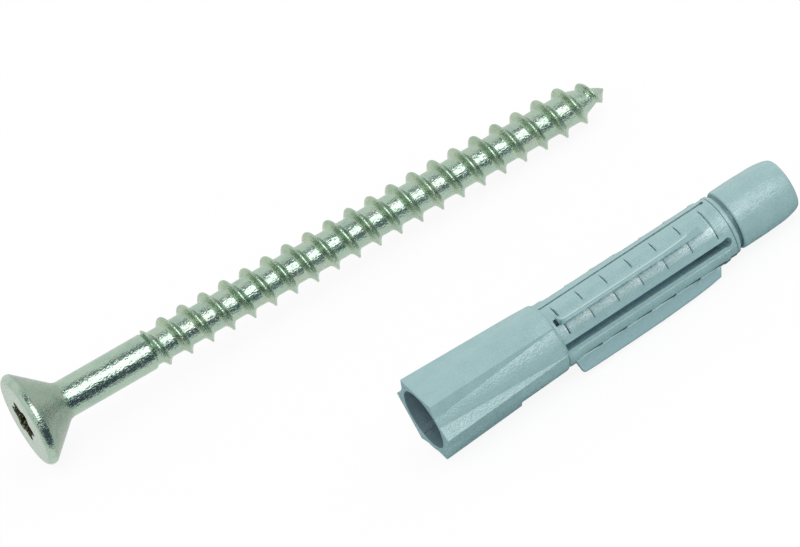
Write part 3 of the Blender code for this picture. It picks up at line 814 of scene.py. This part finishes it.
def collar_keys(depth):
    """The angles of the ridges and of their flanks' feet at a depth, in order round."""
    keys = []
    for ridge_angle, side in RIDGES:
        foot = max(flank_foot(ridge_angle, depth), 0.15 * RIDGE_SIDE_ANGLE)
        keys += sorted((ridge_angle, ridge_angle + side * foot))
    return keys


KEY_COLUMNS = [min(range(len(PLUG_COLUMNS)), key=lambda i: abs(PLUG_COLUMNS[i][0] - key))
               for key in collar_keys(0.0)]


def collar_angles(depth):
    """Angle of every column on the collar, bent so that columns run along its edges."""
    keys = collar_keys(depth)
    count = len(PLUG_COLUMNS)
    angles = [0.0] * count
    for k, first in enumerate(KEY_COLUMNS):
        last = KEY_COLUMNS[(k + 1) % len(KEY_COLUMNS)]
        start, stop = keys[k], keys[(k + 1) % len(keys)]
        turn = (stop - start) % 360.0
        plain_start = PLUG_COLUMNS[first][0]
        plain_turn = (PLUG_COLUMNS[last][0] - plain_start) % 360.0
        i = first
        while i != last:
            share = ((PLUG_COLUMNS[i][0] - plain_start) % 360.0) / plain_turn
            angles[i] = (start + turn * share) % 360.0
            i = (i + 1) % count
    return angles


def collar_ring(depth, inset=0.0):
    """One ring of points round the collar."""
    ring = []
    for angle in collar_angles(depth):
        radius = collar_radius(angle, depth) - inset
        turn = math.radians(angle)
        ring.append((radius * math.cos(turn), radius * math.sin(turn), -depth))
    return ring


def fin_point(leg, side, height, radius, depth, fins):
    """A point that keeps its place across a leg: on the leg itself, or on its fin."""
    across = fin_across(leg, side, 0.0)
    out = math.sqrt(radius * radius - across * across)
    if fins and leg != TOP_LEG:
        edge = line_value(KEEL_LINE if leg == KEEL_LEG else SIDE_FIN_LINE, depth)
        if leg == HIDDEN_LEG:
            edge -= HIDDEN_FIN_SHORTER
        out += max(edge - out, 0.0) * height
        lean = min(max(out - BODY_RADIUS, 0.0) / (FIN_FULL_RADIUS - BODY_RADIUS), 1.0)
        across = fin_across(leg, side, lean)
        if leg in SIDE_LEGS and depth < FIN_START + NOSE_LENGTH:
            back = 1.0 - (depth - FIN_START) / NOSE_LENGTH
            centre = fin_across(leg, NOSE_SIDE if leg == FRONT_LEG else -NOSE_SIDE, lean)
            across = centre + (across - centre) * math.sqrt(max(1.0 - back * back, NOSE_LEAST_SQUARE))
    turn = math.radians(leg)
    return (out * math.cos(turn) - across * math.sin(turn),
            out * math.sin(turn) + across * math.cos(turn))


def plug_ring(depth, radius_of, outside=False, fins=False):
    """One ring of points on the legs and the neck, whose outside sags a little, or in the bore."""
    sag = 0.0
    if outside:
        sag = BODY_SAG * smooth_step(depth, COLLAR_LENGTH, COLLAR_LENGTH + 0.4 * MM)
        sag *= smooth_step(BODY_END + 0.5 * MM - depth, 0.0, 0.6 * MM)
    sag_x, sag_y = sag * math.cos(BODY_SAG_ANGLE), sag * math.sin(BODY_SAG_ANGLE)
    ring = []
    for angle, on_fin in PLUG_COLUMNS:
        radius = radius_of(angle, depth)
        if on_fin and outside and depth < BODY_END:
            x, y = fin_point(*on_fin, radius, depth, fins)
        else:
            turn = math.radians(angle)
            x, y = radius * math.cos(turn), radius * math.sin(turn)
        ring.append((x + sag_x, y + sag_y, -depth))
    return ring


def thinned(depths):
    """Depths in order, without those that lie almost on the one before."""
    kept = []
    for depth in sorted(depths):
        if not kept or depth - kept[-1] > 0.0045 * MM:
            kept.append(depth)
    return kept


def leg_depths():
    """Depths of the legs' rings: close where a nose, a notch or a tooth turns sharply."""
    depths = [COLLAR_LENGTH + step * MM for step in (0.03, 0.15, 0.22, 0.32, 0.5, 0.7, 0.78)]
    depths += [FIN_START - 0.005 * MM, FIN_START]
    depths += [FIN_START + NOSE_LENGTH * share for share in (0.05, 0.15, 0.3, 0.5, 0.75, 1.0)]
    depths += [place * MM for place, _ in KEEL_LINE + SIDE_FIN_LINE]
    for tooth in range(TOOTH_COUNT):
        plane = TOOTH_START + TOOTH_PITCH * tooth
        depths += [plane - NOTCH_WIDTH * share for share in (1.0, 0.9, 0.5, 0.1)]
        depths += [plane + off * MM for off in (-0.5, -0.3, -0.002, 0.12, 0.3, 0.6)]
        if tooth < TOOTH_COUNT - 1:
            depths += [plane + off * MM for off in (0.95, 1.3, 1.7, 2.1, 2.5, 2.8)]
    last = TOOTH_START + TOOTH_PITCH * (TOOTH_COUNT - 1) + LAST_TOOTH_LENGTH
    depths += [last - 0.01 * MM, last + 0.02 * MM, 41.4 * MM, 42.0 * MM]
    return thinned(depths)


def outside_rings():
    """Rings from the mouth's edge, along the collar and the legs, to the tip's edge."""
    rings = [collar_ring(0.0, MOUTH_EDGE), collar_ring(0.3 * MOUTH_EDGE, 0.3 * MOUTH_EDGE),
             collar_ring(MOUTH_EDGE)]
    straight = COLLAR_LENGTH - COLLAR_END_RADIUS
    depths = [MOUTH_EDGE + (straight - MOUTH_EDGE) * i / COLLAR_ROWS
              for i in range(1, COLLAR_ROWS + 1)]
    depths += [LOW_RIDGE_END - 0.1 * MM, LOW_RIDGE_END, LOW_RIDGE_END + 0.04 * MM]
    rings += [collar_ring(depth) for depth in sorted(depths)]
    for i in range(1, 7):
        turn = math.pi / 2 * i / 6.5
        rings.append(collar_ring(straight + COLLAR_END_RADIUS * math.sin(turn),
                                 COLLAR_END_RADIUS * (1.0 - math.cos(turn))))
    rings.append(plug_ring(COLLAR_LENGTH, lambda angle, depth: BODY_RADIUS + BODY_START_RISE))
    rings += [plug_ring(depth, body_radius, outside=True, fins=FIN_START <= depth <= FIN_END)
              for depth in leg_depths()]
    rings += [plug_ring(place * MM, body_radius, outside=True) for place, _ in NECK_LINE]
    return rings


def bore_radius(angle, depth):
    """Open funnel with a low rib inside each leg, then the screw's guide and the tip."""
    if depth <= BORE_STEP_DEPTH:
        narrowing = (BORE_STEP_RADIUS - BORE_MOUTH_RADIUS) * depth
        radius = BORE_MOUTH_RADIUS + narrowing / BORE_STEP_DEPTH
    elif depth <= BORE_FUNNEL:
        share = (depth - BORE_STEP_DEPTH) / (BORE_FUNNEL - BORE_STEP_DEPTH)
        radius = BORE_STEP_RADIUS + (BORE_RADIUS - BORE_STEP_RADIUS) * share
    elif depth <= BODY_END:
        radius = BORE_RADIUS
    else:
        radius = BORE_TIP_RADIUS
    off = abs(off_angle(angle, nearest_leg(angle)))
    rib = smooth_step(BORE_RIB_ANGLE - off, 0.0, 4.0) * smooth_step(depth, 1.2 * MM, 2.4 * MM)
    return radius - BORE_RIB * rib * smooth_step(BORE_FUNNEL - depth, 0.0, 4.0 * MM)


def bore_rings():
    """Rings from the tip's opening back through the bore to the mouth."""
    depths = [PLUG_LENGTH, 47.0 * MM, 43.2 * MM, BODY_END + 0.3 * MM, BODY_END, 38.0 * MM,
              32.0 * MM, 26.0 * MM, 20.0 * MM]
    depths += [BORE_FUNNEL - MM * i for i in range(16)]
    depths.append(MOUTH_EDGE)
    rings = [plug_ring(depth, bore_radius) for depth in depths]
    for depth, wider in ((0.3 * MOUTH_EDGE, 0.3 * MOUTH_EDGE), (0.0, MOUTH_EDGE)):
        rings.append(plug_ring(depth, lambda angle, _: bore_radius(angle, 0.0) + wider))
    return rings


def add_prism(build, near, far):
    """A solid between two outlines of the same number of corners."""
    near, far = add_points(build, (near, far))
    build.faces.new(near)
    build.faces.new(list(reversed(far)))
    for i in range(len(near)):
        j = (i + 1) % len(near)
        build.faces.new((near[i], far[i], far[j], near[j]))


def slot_cutter(middle, way, half_width):
    """A flat blade with a rounded eye at its end, which cuts one slot down to the bore."""
    half_width *= MM
    eye = half_width + SLOT_EYE_WIDER
    side = [(SLOT_START, half_width), (SLOT_END - 2.2 * eye, half_width)]
    side += [(SLOT_END - eye + eye * math.sin(turn), eye * math.cos(turn))
             for turn in SLOT_EYE_TURNS]
    outline = side + [(depth, -width) for depth, width in reversed(side)]
    middle, way = math.radians(middle), math.radians(way)
    reach = Vector((math.cos(way), math.sin(way), 0.0))
    across = Vector((-math.sin(way), math.cos(way), 0.0))
    spot = BODY_RADIUS * Vector((math.cos(middle), math.sin(middle), 0.0))
    inner, outer = ([spot + reach * far + across * width - Vector((0.0, 0.0, depth))
                     for depth, width in outline] for far in (-3.0 * MM, 2.0 * MM))
    build = bmesh.new()
    add_prism(build, inner, outer)
    return add_thing("slot_cutter", closed_mesh(build, "slot_cutter"))


def crack_cutter(side):
    """Wedges that open a crack along the keel's root behind each tooth."""
    build = bmesh.new()
    sag_x = BODY_SAG * math.cos(BODY_SAG_ANGLE)
    sag_y = BODY_SAG * math.sin(BODY_SAG_ANGLE)
    for tooth in range(TOOTH_COUNT - 1):
        plane = TOOTH_START + TOOTH_PITCH * tooth
        near, far = ([(radius * MM + sag_x, side * across + sag_y, -(plane + place * TOOTH_PITCH))
                      for place, radius in CRACK_LINE] for across in (CRACK_INNER, CRACK_OUTER))
        add_prism(build, near, far)
    return add_thing("crack_cutter", closed_mesh(build, "crack_cutter"))


def plug_mesh():
    """Outside and bore as one closed skin, then the slots and cracks cut into it."""
    build = bmesh.new()
    rings = add_points(build, outside_rings() + bore_rings())
    join_rings(build, rings + rings[:1])
    weld(build, 0.001 * MM)
    blank = add_thing("plug_blank", closed_mesh(build, "nylon_plug"))
    cutters = [slot_cutter(*slot) for slot in SLOTS] + [crack_cutter(1.0), crack_cutter(-1.0)]
    for cutter in cutters:
        cut = blank.modifiers.new("slot", "BOOLEAN")
        cut.object = cutter
        cut.operation = "DIFFERENCE"
        cut.solver = "EXACT"
    depsgraph = bpy.context.evaluated_depsgraph_get()
    finished = bpy.data.meshes.new_from_object(blank.evaluated_get(depsgraph))
    for helper in [blank] + cutters:
        bpy.data.objects.remove(helper, do_unlink=True)
    return finished


BORE_SKIN = 2.1 * MM
FINS_FROM = COLLAR_LENGTH + 0.1 * MM
WALL_PAINTED_GLOW = 0.3
FINNED_WALL_PAINTED_GLOW = 0.0
BORE_END_DARKER = 0.9
BORE_END_START = 37.0 * MM
NECK_PAINTED_SHADE = 0.6
NECK_STEP_START = 41.9 * MM
NECK_STEP_RADIUS = 3.76 * MM
NECK_GROOVE_END = 43.16 * MM
NECK_GROOVE_RADIUS = 3.4 * MM
CREVICE_INNER = 3.0 * MM
SLOT_EYE_LENGTH = 1.1 * MM
SLOT_EYE_SHADE = 0.8
CRACK_SHADE = 0.7
CREVICE_HALF_ANGLE = 34.0
ROOT_HALF_ANGLE = 14.0
SIDE_FIN_SHADE = 0.9
PAINTED_SHEEN_LENGTH = 2.6 * MM
PAINTED_SHEEN_REST = 0.25


def plug_spot(x, y):
    """Radius of a point on the plug, its angle, and the leg on which that lies."""
    angle = math.degrees(math.atan2(y, x)) % 360.0
    return math.hypot(x, y), angle, nearest_leg(angle)


def plug_inside(point, normal):
    """1 on the wall of the bore, 0 elsewhere: it gets painted shade and more roughness."""
    depth, radius = -point.z, math.hypot(point.x, point.y)
    if depth < COLLAR_LENGTH:
        return 1.0 if radius < BORE_MOUTH_RADIUS + 0.01 * MM and depth > 0.08 * MM else 0.0
    if depth > 43.15 * MM:
        return 1.0 if radius < 2.5 * MM else 0.0
    return 1.0 if radius < BORE_SKIN else 0.0


def plug_painted_glow(point, normal):
    """How strong the painted glow is that stands in for light seeping in through the thin legs: on the
    bore, less on the slots' walls.
    """
    depth = -point.z
    radius, angle, leg = plug_spot(point.x, point.y)
    if not SLOT_START - 0.1 * MM < depth < SLOT_END + 0.1 * MM or radius > 3.75 * MM:
        return 0.0
    if radius < BORE_SKIN:
        return 1.0 - BORE_END_DARKER * smooth_step(depth, BORE_END_START, SLOT_END)
    out_of = Vector((point.x, point.y, 0.0)).normalized()
    if abs(off_angle(angle, leg)) <= 20.0 or abs(normal.dot(out_of)) >= 0.95:
        return 0.0
    return WALL_PAINTED_GLOW if leg == KEEL_LEG else FINNED_WALL_PAINTED_GLOW


def plug_painted_crevice_shade(point, normal):
    """How much painted shade darkens a notch, a slot's eye, a crack at the keel or the neck's groove.
    """
    x = point.x - BODY_SAG * math.cos(BODY_SAG_ANGLE)
    y = point.y - BODY_SAG * math.sin(BODY_SAG_ANGLE)
    depth = -point.z
    radius, angle, leg = plug_spot(x, y)
    if depth < FINS_FROM or radius < CREVICE_INNER:
        return 0.0
    if depth > BODY_END:
        in_groove = depth < NECK_GROOVE_END and radius < NECK_GROOVE_RADIUS
        return NECK_PAINTED_SHADE if in_groove else 0.0
    if depth > NECK_STEP_START:
        return NECK_PAINTED_SHADE if radius < NECK_STEP_RADIUS else 0.0
    off = abs(off_angle(angle, leg))
    if depth > SLOT_END - SLOT_EYE_LENGTH and off > CREVICE_HALF_ANGLE and radius < 3.8 * MM:
        at_end = depth > SLOT_END - SLOT_EYE_LENGTH / 4
        return SLOT_EYE_SHADE if leg != KEEL_LEG or at_end else 0.0
    if leg == KEEL_LEG:
        in_crack = abs(y) < 0.3 * MM or radius < 3.87 * MM
        at_root = off < ROOT_HALF_ANGLE and radius < 4.14 * MM and depth > TOOTH_START
        return CRACK_SHADE if at_root and in_crack else 0.0
    in_groove = off < ROOT_HALF_ANGLE and radius > 3.72 * MM
    in_notch = off < CREVICE_HALF_ANGLE and radius < 3.83 * MM and leg != TOP_LEG
    return 1.0 if in_notch and not in_groove else 0.0


def plug_painted_sheen(point, normal):
    """How strong the painted sheen is on the lower half of a side leg, most at a tooth's rear end."""
    depth = -point.z
    radius, angle, leg = plug_spot(point.x, point.y)
    if leg not in SIDE_LEGS or not lower_half(off_angle(angle, leg), leg):
        return 0.0
    on_skin = 3.84 < radius / MM < 4.2
    if not on_skin or not FIN_START + 0.2 * MM < depth < FIN_END + 0.3 * MM:
        return 0.0
    before = (TOOTH_START - depth) % TOOTH_PITCH
    beside = beside_fin(angle, leg)
    rear = max(1.0 - before / PAINTED_SHEEN_LENGTH, PAINTED_SHEEN_REST)
    return rear * smooth_step(beside, 0.3, 1.5) * smooth_step(21.0 - beside, 0.0, 14.0)


def plug_blade(point, normal):
    """1 on the keel and part of it on the side fins' edges, which are a little darker."""
    radius, angle, leg = plug_spot(point.x, point.y)
    if not FINS_FROM < -point.z < FIN_END:
        return 0.0
    high = smooth_step(radius, BODY_RADIUS + 0.3 * MM, BODY_RADIUS + 0.6 * MM)
    if leg == KEEL_LEG:
        return high
    return SIDE_FIN_SHADE * high if abs(normal.x) < 0.3 else 0.0


def plug_painted_edge_highlight(point, normal):
    """1 along the side fins' rounded edges, which get a paler painted highlight."""
    radius, angle, leg = plug_spot(point.x, point.y)
    high = FINS_FROM < -point.z < FIN_END and radius >= BODY_RADIUS + MM
    return 1.0 if high and leg != KEEL_LEG and 0.3 < -normal.x < 0.82 else 0.0


plug_place = piece_place("plug_mouth_face", *MOUTH_MOUNT_SPOT, PLUG_ROLL)
nylon_plug = add_piece("nylon_plug", plug_mesh(), plug_place, math.radians(24.0))
# Painted shade on the bore's wall
tag(nylon_plug, plug_place, "inside", plug_inside, "FACE")
# The slot mask drives a painted glow on the bore and the slots' walls
tag(nylon_plug, plug_place, "slot", plug_painted_glow, "FACE")
# Painted shade in the notches, slot eyes, keel cracks and the neck's groove
tag(nylon_plug, plug_place, "painted_crevice_shade", plug_painted_crevice_shade, "FACE")
tag(nylon_plug, plug_place, "blade", plug_blade, "FACE")
# The rim mask carries a painted highlight along the side fins' rounded edges
tag(nylon_plug, plug_place, "rim", plug_painted_edge_highlight, "FACE")
# Painted sheen on the side legs' lower halves, most at each tooth's rear end
tag(nylon_plug, plug_place, "painted_sheen", plug_painted_sheen, "POINT")

NYLON_LIGHT = (0.305, 0.485, 0.49, 1.0)
NYLON_DEEP = (0.275, 0.445, 0.455, 1.0)
NYLON_BLADE = (0.22, 0.385, 0.41, 1.0)
# Paler colour painted along the side fins' edges as a highlight
NYLON_PAINTED_EDGE_HIGHLIGHT = (0.47, 0.66, 0.62, 1.0)
# Pale colour painted on as a speckled sheen where the side legs would catch the light
NYLON_PAINTED_SHEEN = (0.74, 0.88, 0.9, 1.0)
# Darker colour painted into the bore as shade
NYLON_PAINTED_BORE_SHADE = (0.09, 0.17, 0.2, 1.0)
# Near black painted into crevices as shade
NYLON_PAINTED_CREVICE_SHADE = (0.0, 0.045, 0.07, 1.0)
# Colour of the painted glow that stands in for light through the thin nylon
NYLON_PAINTED_GLOW = (0.07, 0.125, 0.165, 1.0)
NYLON_UNLIT = (0.0, 0.0, 0.0, 1.0)
NYLON_SPECULAR = 0.95
NYLON_ROUGHNESS = (0.22, 0.42)
NYLON_GRAIN_LIMITS = (0.35, 0.65)
PAINTED_SHEEN_GRAIN_LIMITS = (0.4, 0.6)
BLADE_ROUGHER = 0.4
BORE_ROUGHER = 0.35
NYLON_RELIEF = 0.085 * MM


def nylon_material():
    """Moulded nylon: a soft mottled sheen, a painted speckled sheen on the side legs, painted edge
    highlights, painted shade in the bore and crevices, a painted glow in the slots, and a finely
    grained skin.
    """
    material, tree, shader = start_material("grey_nylon")
    set_sockets(shader, {"Specular IOR Level": NYLON_SPECULAR, "Emission Strength": 1.0})
    skin = node_at(tree, "ShaderNodeGroup", -1000, 0, node_tree=uneven_surface)
    set_sockets(skin, {"Patch Size mm": 1.3, "Pit Size mm": 0.2, "Pit Weight": 0.9, "Stretch": 0.7})
    patch, pit = skin.outputs["Patch"], skin.outputs["Pit"]

    colour = ramped(tree, -700, 300, patch, (0.3, NYLON_DEEP), (0.7, NYLON_LIGHT))
    # Painted sheen: a pale colour laid on in grains on the side legs' lower halves
    grain = spread(tree, -1000, 700, pit, PAINTED_SHEEN_GRAIN_LIMITS, (0.0, 1.0))
    painted_sheen_mask = tag_mask(tree, -1000, 500, "painted_sheen")
    painted_sheen_spots = worked_out(tree, -850, 600, "MULTIPLY", painted_sheen_mask, grain)
    colour = laid_over(tree, -550, 300, painted_sheen_spots, colour, NYLON_PAINTED_SHEEN)
    masks = {}
    # Blade tone, painted edge highlight, painted bore shade and painted crevice shade, each laid over
    # by its mask
    for name, tone, y in (("blade", NYLON_BLADE, 500), ("rim", NYLON_PAINTED_EDGE_HIGHLIGHT, 600),
                          ("inside", NYLON_PAINTED_BORE_SHADE, 700), ("painted_crevice_shade", NYLON_PAINTED_CREVICE_SHADE, 900)):
        masks[name] = tag_mask(tree, -700, y, name)
        colour = laid_over(tree, -400, y, masks[name], colour, tone)
    tree.links.new(colour, shader.inputs["Base Color"])

    # Painted glow: an emission in place of light that seeps through the thin nylon
    painted_glow = laid_over(tree, -400, 1100, tag_mask(tree, -700, 1100, "slot"), NYLON_UNLIT,
                        NYLON_PAINTED_GLOW)
    tree.links.new(painted_glow, shader.inputs["Emission Color"])
    material.cycles.emission_sampling = "NONE"

    roughness = spread(tree, -700, -100, pit, NYLON_GRAIN_LIMITS, NYLON_ROUGHNESS)
    roughness = worked_out(tree, -450, -100, "MULTIPLY_ADD", masks["blade"], BLADE_ROUGHER, roughness)
    roughness = worked_out(tree, -250, -100, "MULTIPLY_ADD", masks["inside"], BORE_ROUGHER, roughness)
    tree.links.new(roughness, shader.inputs["Roughness"])
    bumped(tree, shader, skin.outputs["Height"], NYLON_RELIEF)
    return material


nylon_plug.data.materials.append(nylon_material())
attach(nylon_plug, "root")
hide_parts("wall_plug")


# The studio
# A white floor, a wide soft light overhead, a soft box behind the camera whose shine runs
# along the pieces, and dark cards that only gloss picks up, as for any bright metal.
FLOOR_HALF = 1.5
FLOOR_WHITE = (0.93, 0.93, 0.93, 1.0)
FLOOR_OWN_WHITE = 0.9
WORLD_FILL = 0.9
CARD_BLUE_GREY = (0.072, 0.1, 0.138, 1.0)
LOW_CARD_EDGE = 0.0125
# Each card in metres: the low one lies before the screw and turns up, the high one hangs
CARDS = {
    "low_card": [(-0.6, LOW_CARD_EDGE, 0.0002), (0.9, LOW_CARD_EDGE, 0.0002), (0.9, -0.7, 0.0002),
                 (-0.6, -0.7, 0.0002)],
    "front_card": [(-0.6, -0.7, 0.0), (0.9, -0.7, 0.0), (0.9, -0.7, 0.29), (-0.6, -0.7, 0.29)],
    "high_card": [(-0.5, -0.30, 0.6), (0.8, -0.30, 0.6), (0.8, 0.02, 0.6), (-0.5, 0.02, 0.6)],
}


def flat_sheet(name, corners, material):
    """A flat sheet of one material between its corners."""
    mesh = bpy.data.meshes.new(name)
    mesh.from_pydata(corners, [], [range(len(corners))])
    mesh.materials.append(material)
    return add_thing(name, mesh)


def add_seen_ray(tree, x, y):
    """1 for rays from the camera and for those that metal and glass send out."""
    path = node_at(tree, "ShaderNodeLightPath", x, y)
    seen = worked_out(tree, x + 200, y, "MAXIMUM", path.outputs["Is Camera Ray"],
                      path.outputs["Is Glossy Ray"])
    return worked_out(tree, x + 400, y, "MAXIMUM", seen, path.outputs["Is Transmission Ray"])


def start_backdrop(name):
    """A new material without a shader, its node tree, and its surface socket."""
    material, tree, _ = start_material(name)
    material.cycles.emission_sampling = "NONE"
    tree.nodes.clear()
    return material, tree, node_at(tree, "ShaderNodeOutputMaterial", 450, 0).inputs["Surface"]


def floor_material():
    """White paper that keeps its shadows, lifted to pure white where it is seen."""
    material, tree, surface = start_backdrop("floor")
    paper = node_at(tree, "ShaderNodeBsdfDiffuse", 0, 200)
    paper.inputs["Color"].default_value = FLOOR_WHITE
    white = node_at(tree, "ShaderNodeEmission", 0, 0)
    both = node_at(tree, "ShaderNodeMixShader", 250, 0)
    seen = worked_out(tree, 0, -200, "MULTIPLY", add_seen_ray(tree, -700, -200), FLOOR_OWN_WHITE)
    tree.links.new(seen, both.inputs[0])
    tree.links.new(paper.outputs[0], both.inputs[1])
    tree.links.new(white.outputs[0], both.inputs[2])
    tree.links.new(both.outputs[0], surface)
    return material


def card_material():
    """Slate card that shows as an even blue grey in reflections."""
    material, tree, surface = start_backdrop("slate_card")
    glow = node_at(tree, "ShaderNodeEmission", 0, 0)
    glow.inputs["Color"].default_value = CARD_BLUE_GREY
    tree.links.new(glow.outputs[0], surface)
    return material


floor_corners = [(x * FLOOR_HALF, y * FLOOR_HALF, 0.0) for x, y in ((-1, -1), (1, -1), (1, 1), (-1, 1))]
floor = flat_sheet("floor", floor_corners, floor_material())

slate = card_material()
for name, corners in CARDS.items():
    card = flat_sheet(name, corners, slate)
    card.visible_camera = False
    card.visible_diffuse = False
    card.visible_shadow = False
    card.visible_transmission = False


def hang_light(name, elevation, azimuth, distance, width, height, radiance):
    """A flat soft light of an even brightness, turned to the middle of the floor."""
    data = bpy.data.lights.new(name, "AREA")
    data.shape = "RECTANGLE"
    data.size = width
    data.size_y = height
    data.energy = radiance * math.pi * width * height
    light = add_thing(name, data)
    light.visible_camera = False
    elevation, azimuth = math.radians(elevation), math.radians(azimuth)
    flat = math.cos(elevation)
    way = Vector((-math.sin(azimuth) * flat, -math.cos(azimuth) * flat, math.sin(elevation)))
    light.location = way * distance
    light.rotation_euler = way.to_track_quat("Z", "Y").to_euler()
    return light


soft_box = hang_light("soft_box", 42.5, -13.0, 1.1, 1.2, 0.7, 2.5)
soft_box.visible_diffuse = False
overhead = hang_light("overhead", 70.0, -20.0, 1.6, 1.4, 1.4, 0.88)
overhead.visible_glossy = False

world = bpy.data.worlds.new("studio")
bpy.context.scene.world = world
world.use_nodes = True
world.cycles.sampling_method = "NONE"
sky = world.node_tree.nodes["Background"]
sky.inputs["Color"].default_value = (1.0, 1.0, 1.0, 1.0)
seen_white = spread(world.node_tree, -200, 0, add_seen_ray(world.node_tree, -900, 0), (0.0, 1.0),
                    (WORLD_FILL, 1.0))
world.node_tree.links.new(seen_white, sky.inputs["Strength"])

# The camera stands off at 1.5 m, looks down by 32 degrees, and is turned so that the
# pieces run up to the right of the picture
CAMERA_AZIMUTH = math.radians(12.04)
CAMERA_ELEVATION = math.radians(32.01)
CAMERA_ROLL = math.radians(-25.57)
CAMERA_DISTANCE = 1.5
CAMERA_TARGET = Vector((2.9 * MM, 8.85 * MM, 4.0 * MM))
FOCAL_LENGTH = 578.4
SENSOR_WIDTH = 36.0

ahead = Vector((math.sin(CAMERA_AZIMUTH) * math.cos(CAMERA_ELEVATION),
                math.cos(CAMERA_AZIMUTH) * math.cos(CAMERA_ELEVATION),
                -math.sin(CAMERA_ELEVATION)))
level_right = Vector((math.cos(CAMERA_AZIMUTH), -math.sin(CAMERA_AZIMUTH), 0.0))
level_up = level_right.cross(ahead)
right = level_right * math.cos(CAMERA_ROLL) + level_up * math.sin(CAMERA_ROLL)
up = level_up * math.cos(CAMERA_ROLL) - level_right * math.sin(CAMERA_ROLL)
camera_data = bpy.data.cameras.new("camera")
camera_data.lens = FOCAL_LENGTH
camera_data.sensor_width = SENSOR_WIDTH
camera_data.clip_end = 10.0
camera = add_thing("camera", camera_data)
stand = Matrix((right, up, -ahead)).transposed().to_4x4()
stand.translation = CAMERA_TARGET - ahead * CAMERA_DISTANCE
camera.matrix_world = stand
bpy.context.scene.camera = camera
bpy.context.scene.view_settings.view_transform = "Standard"
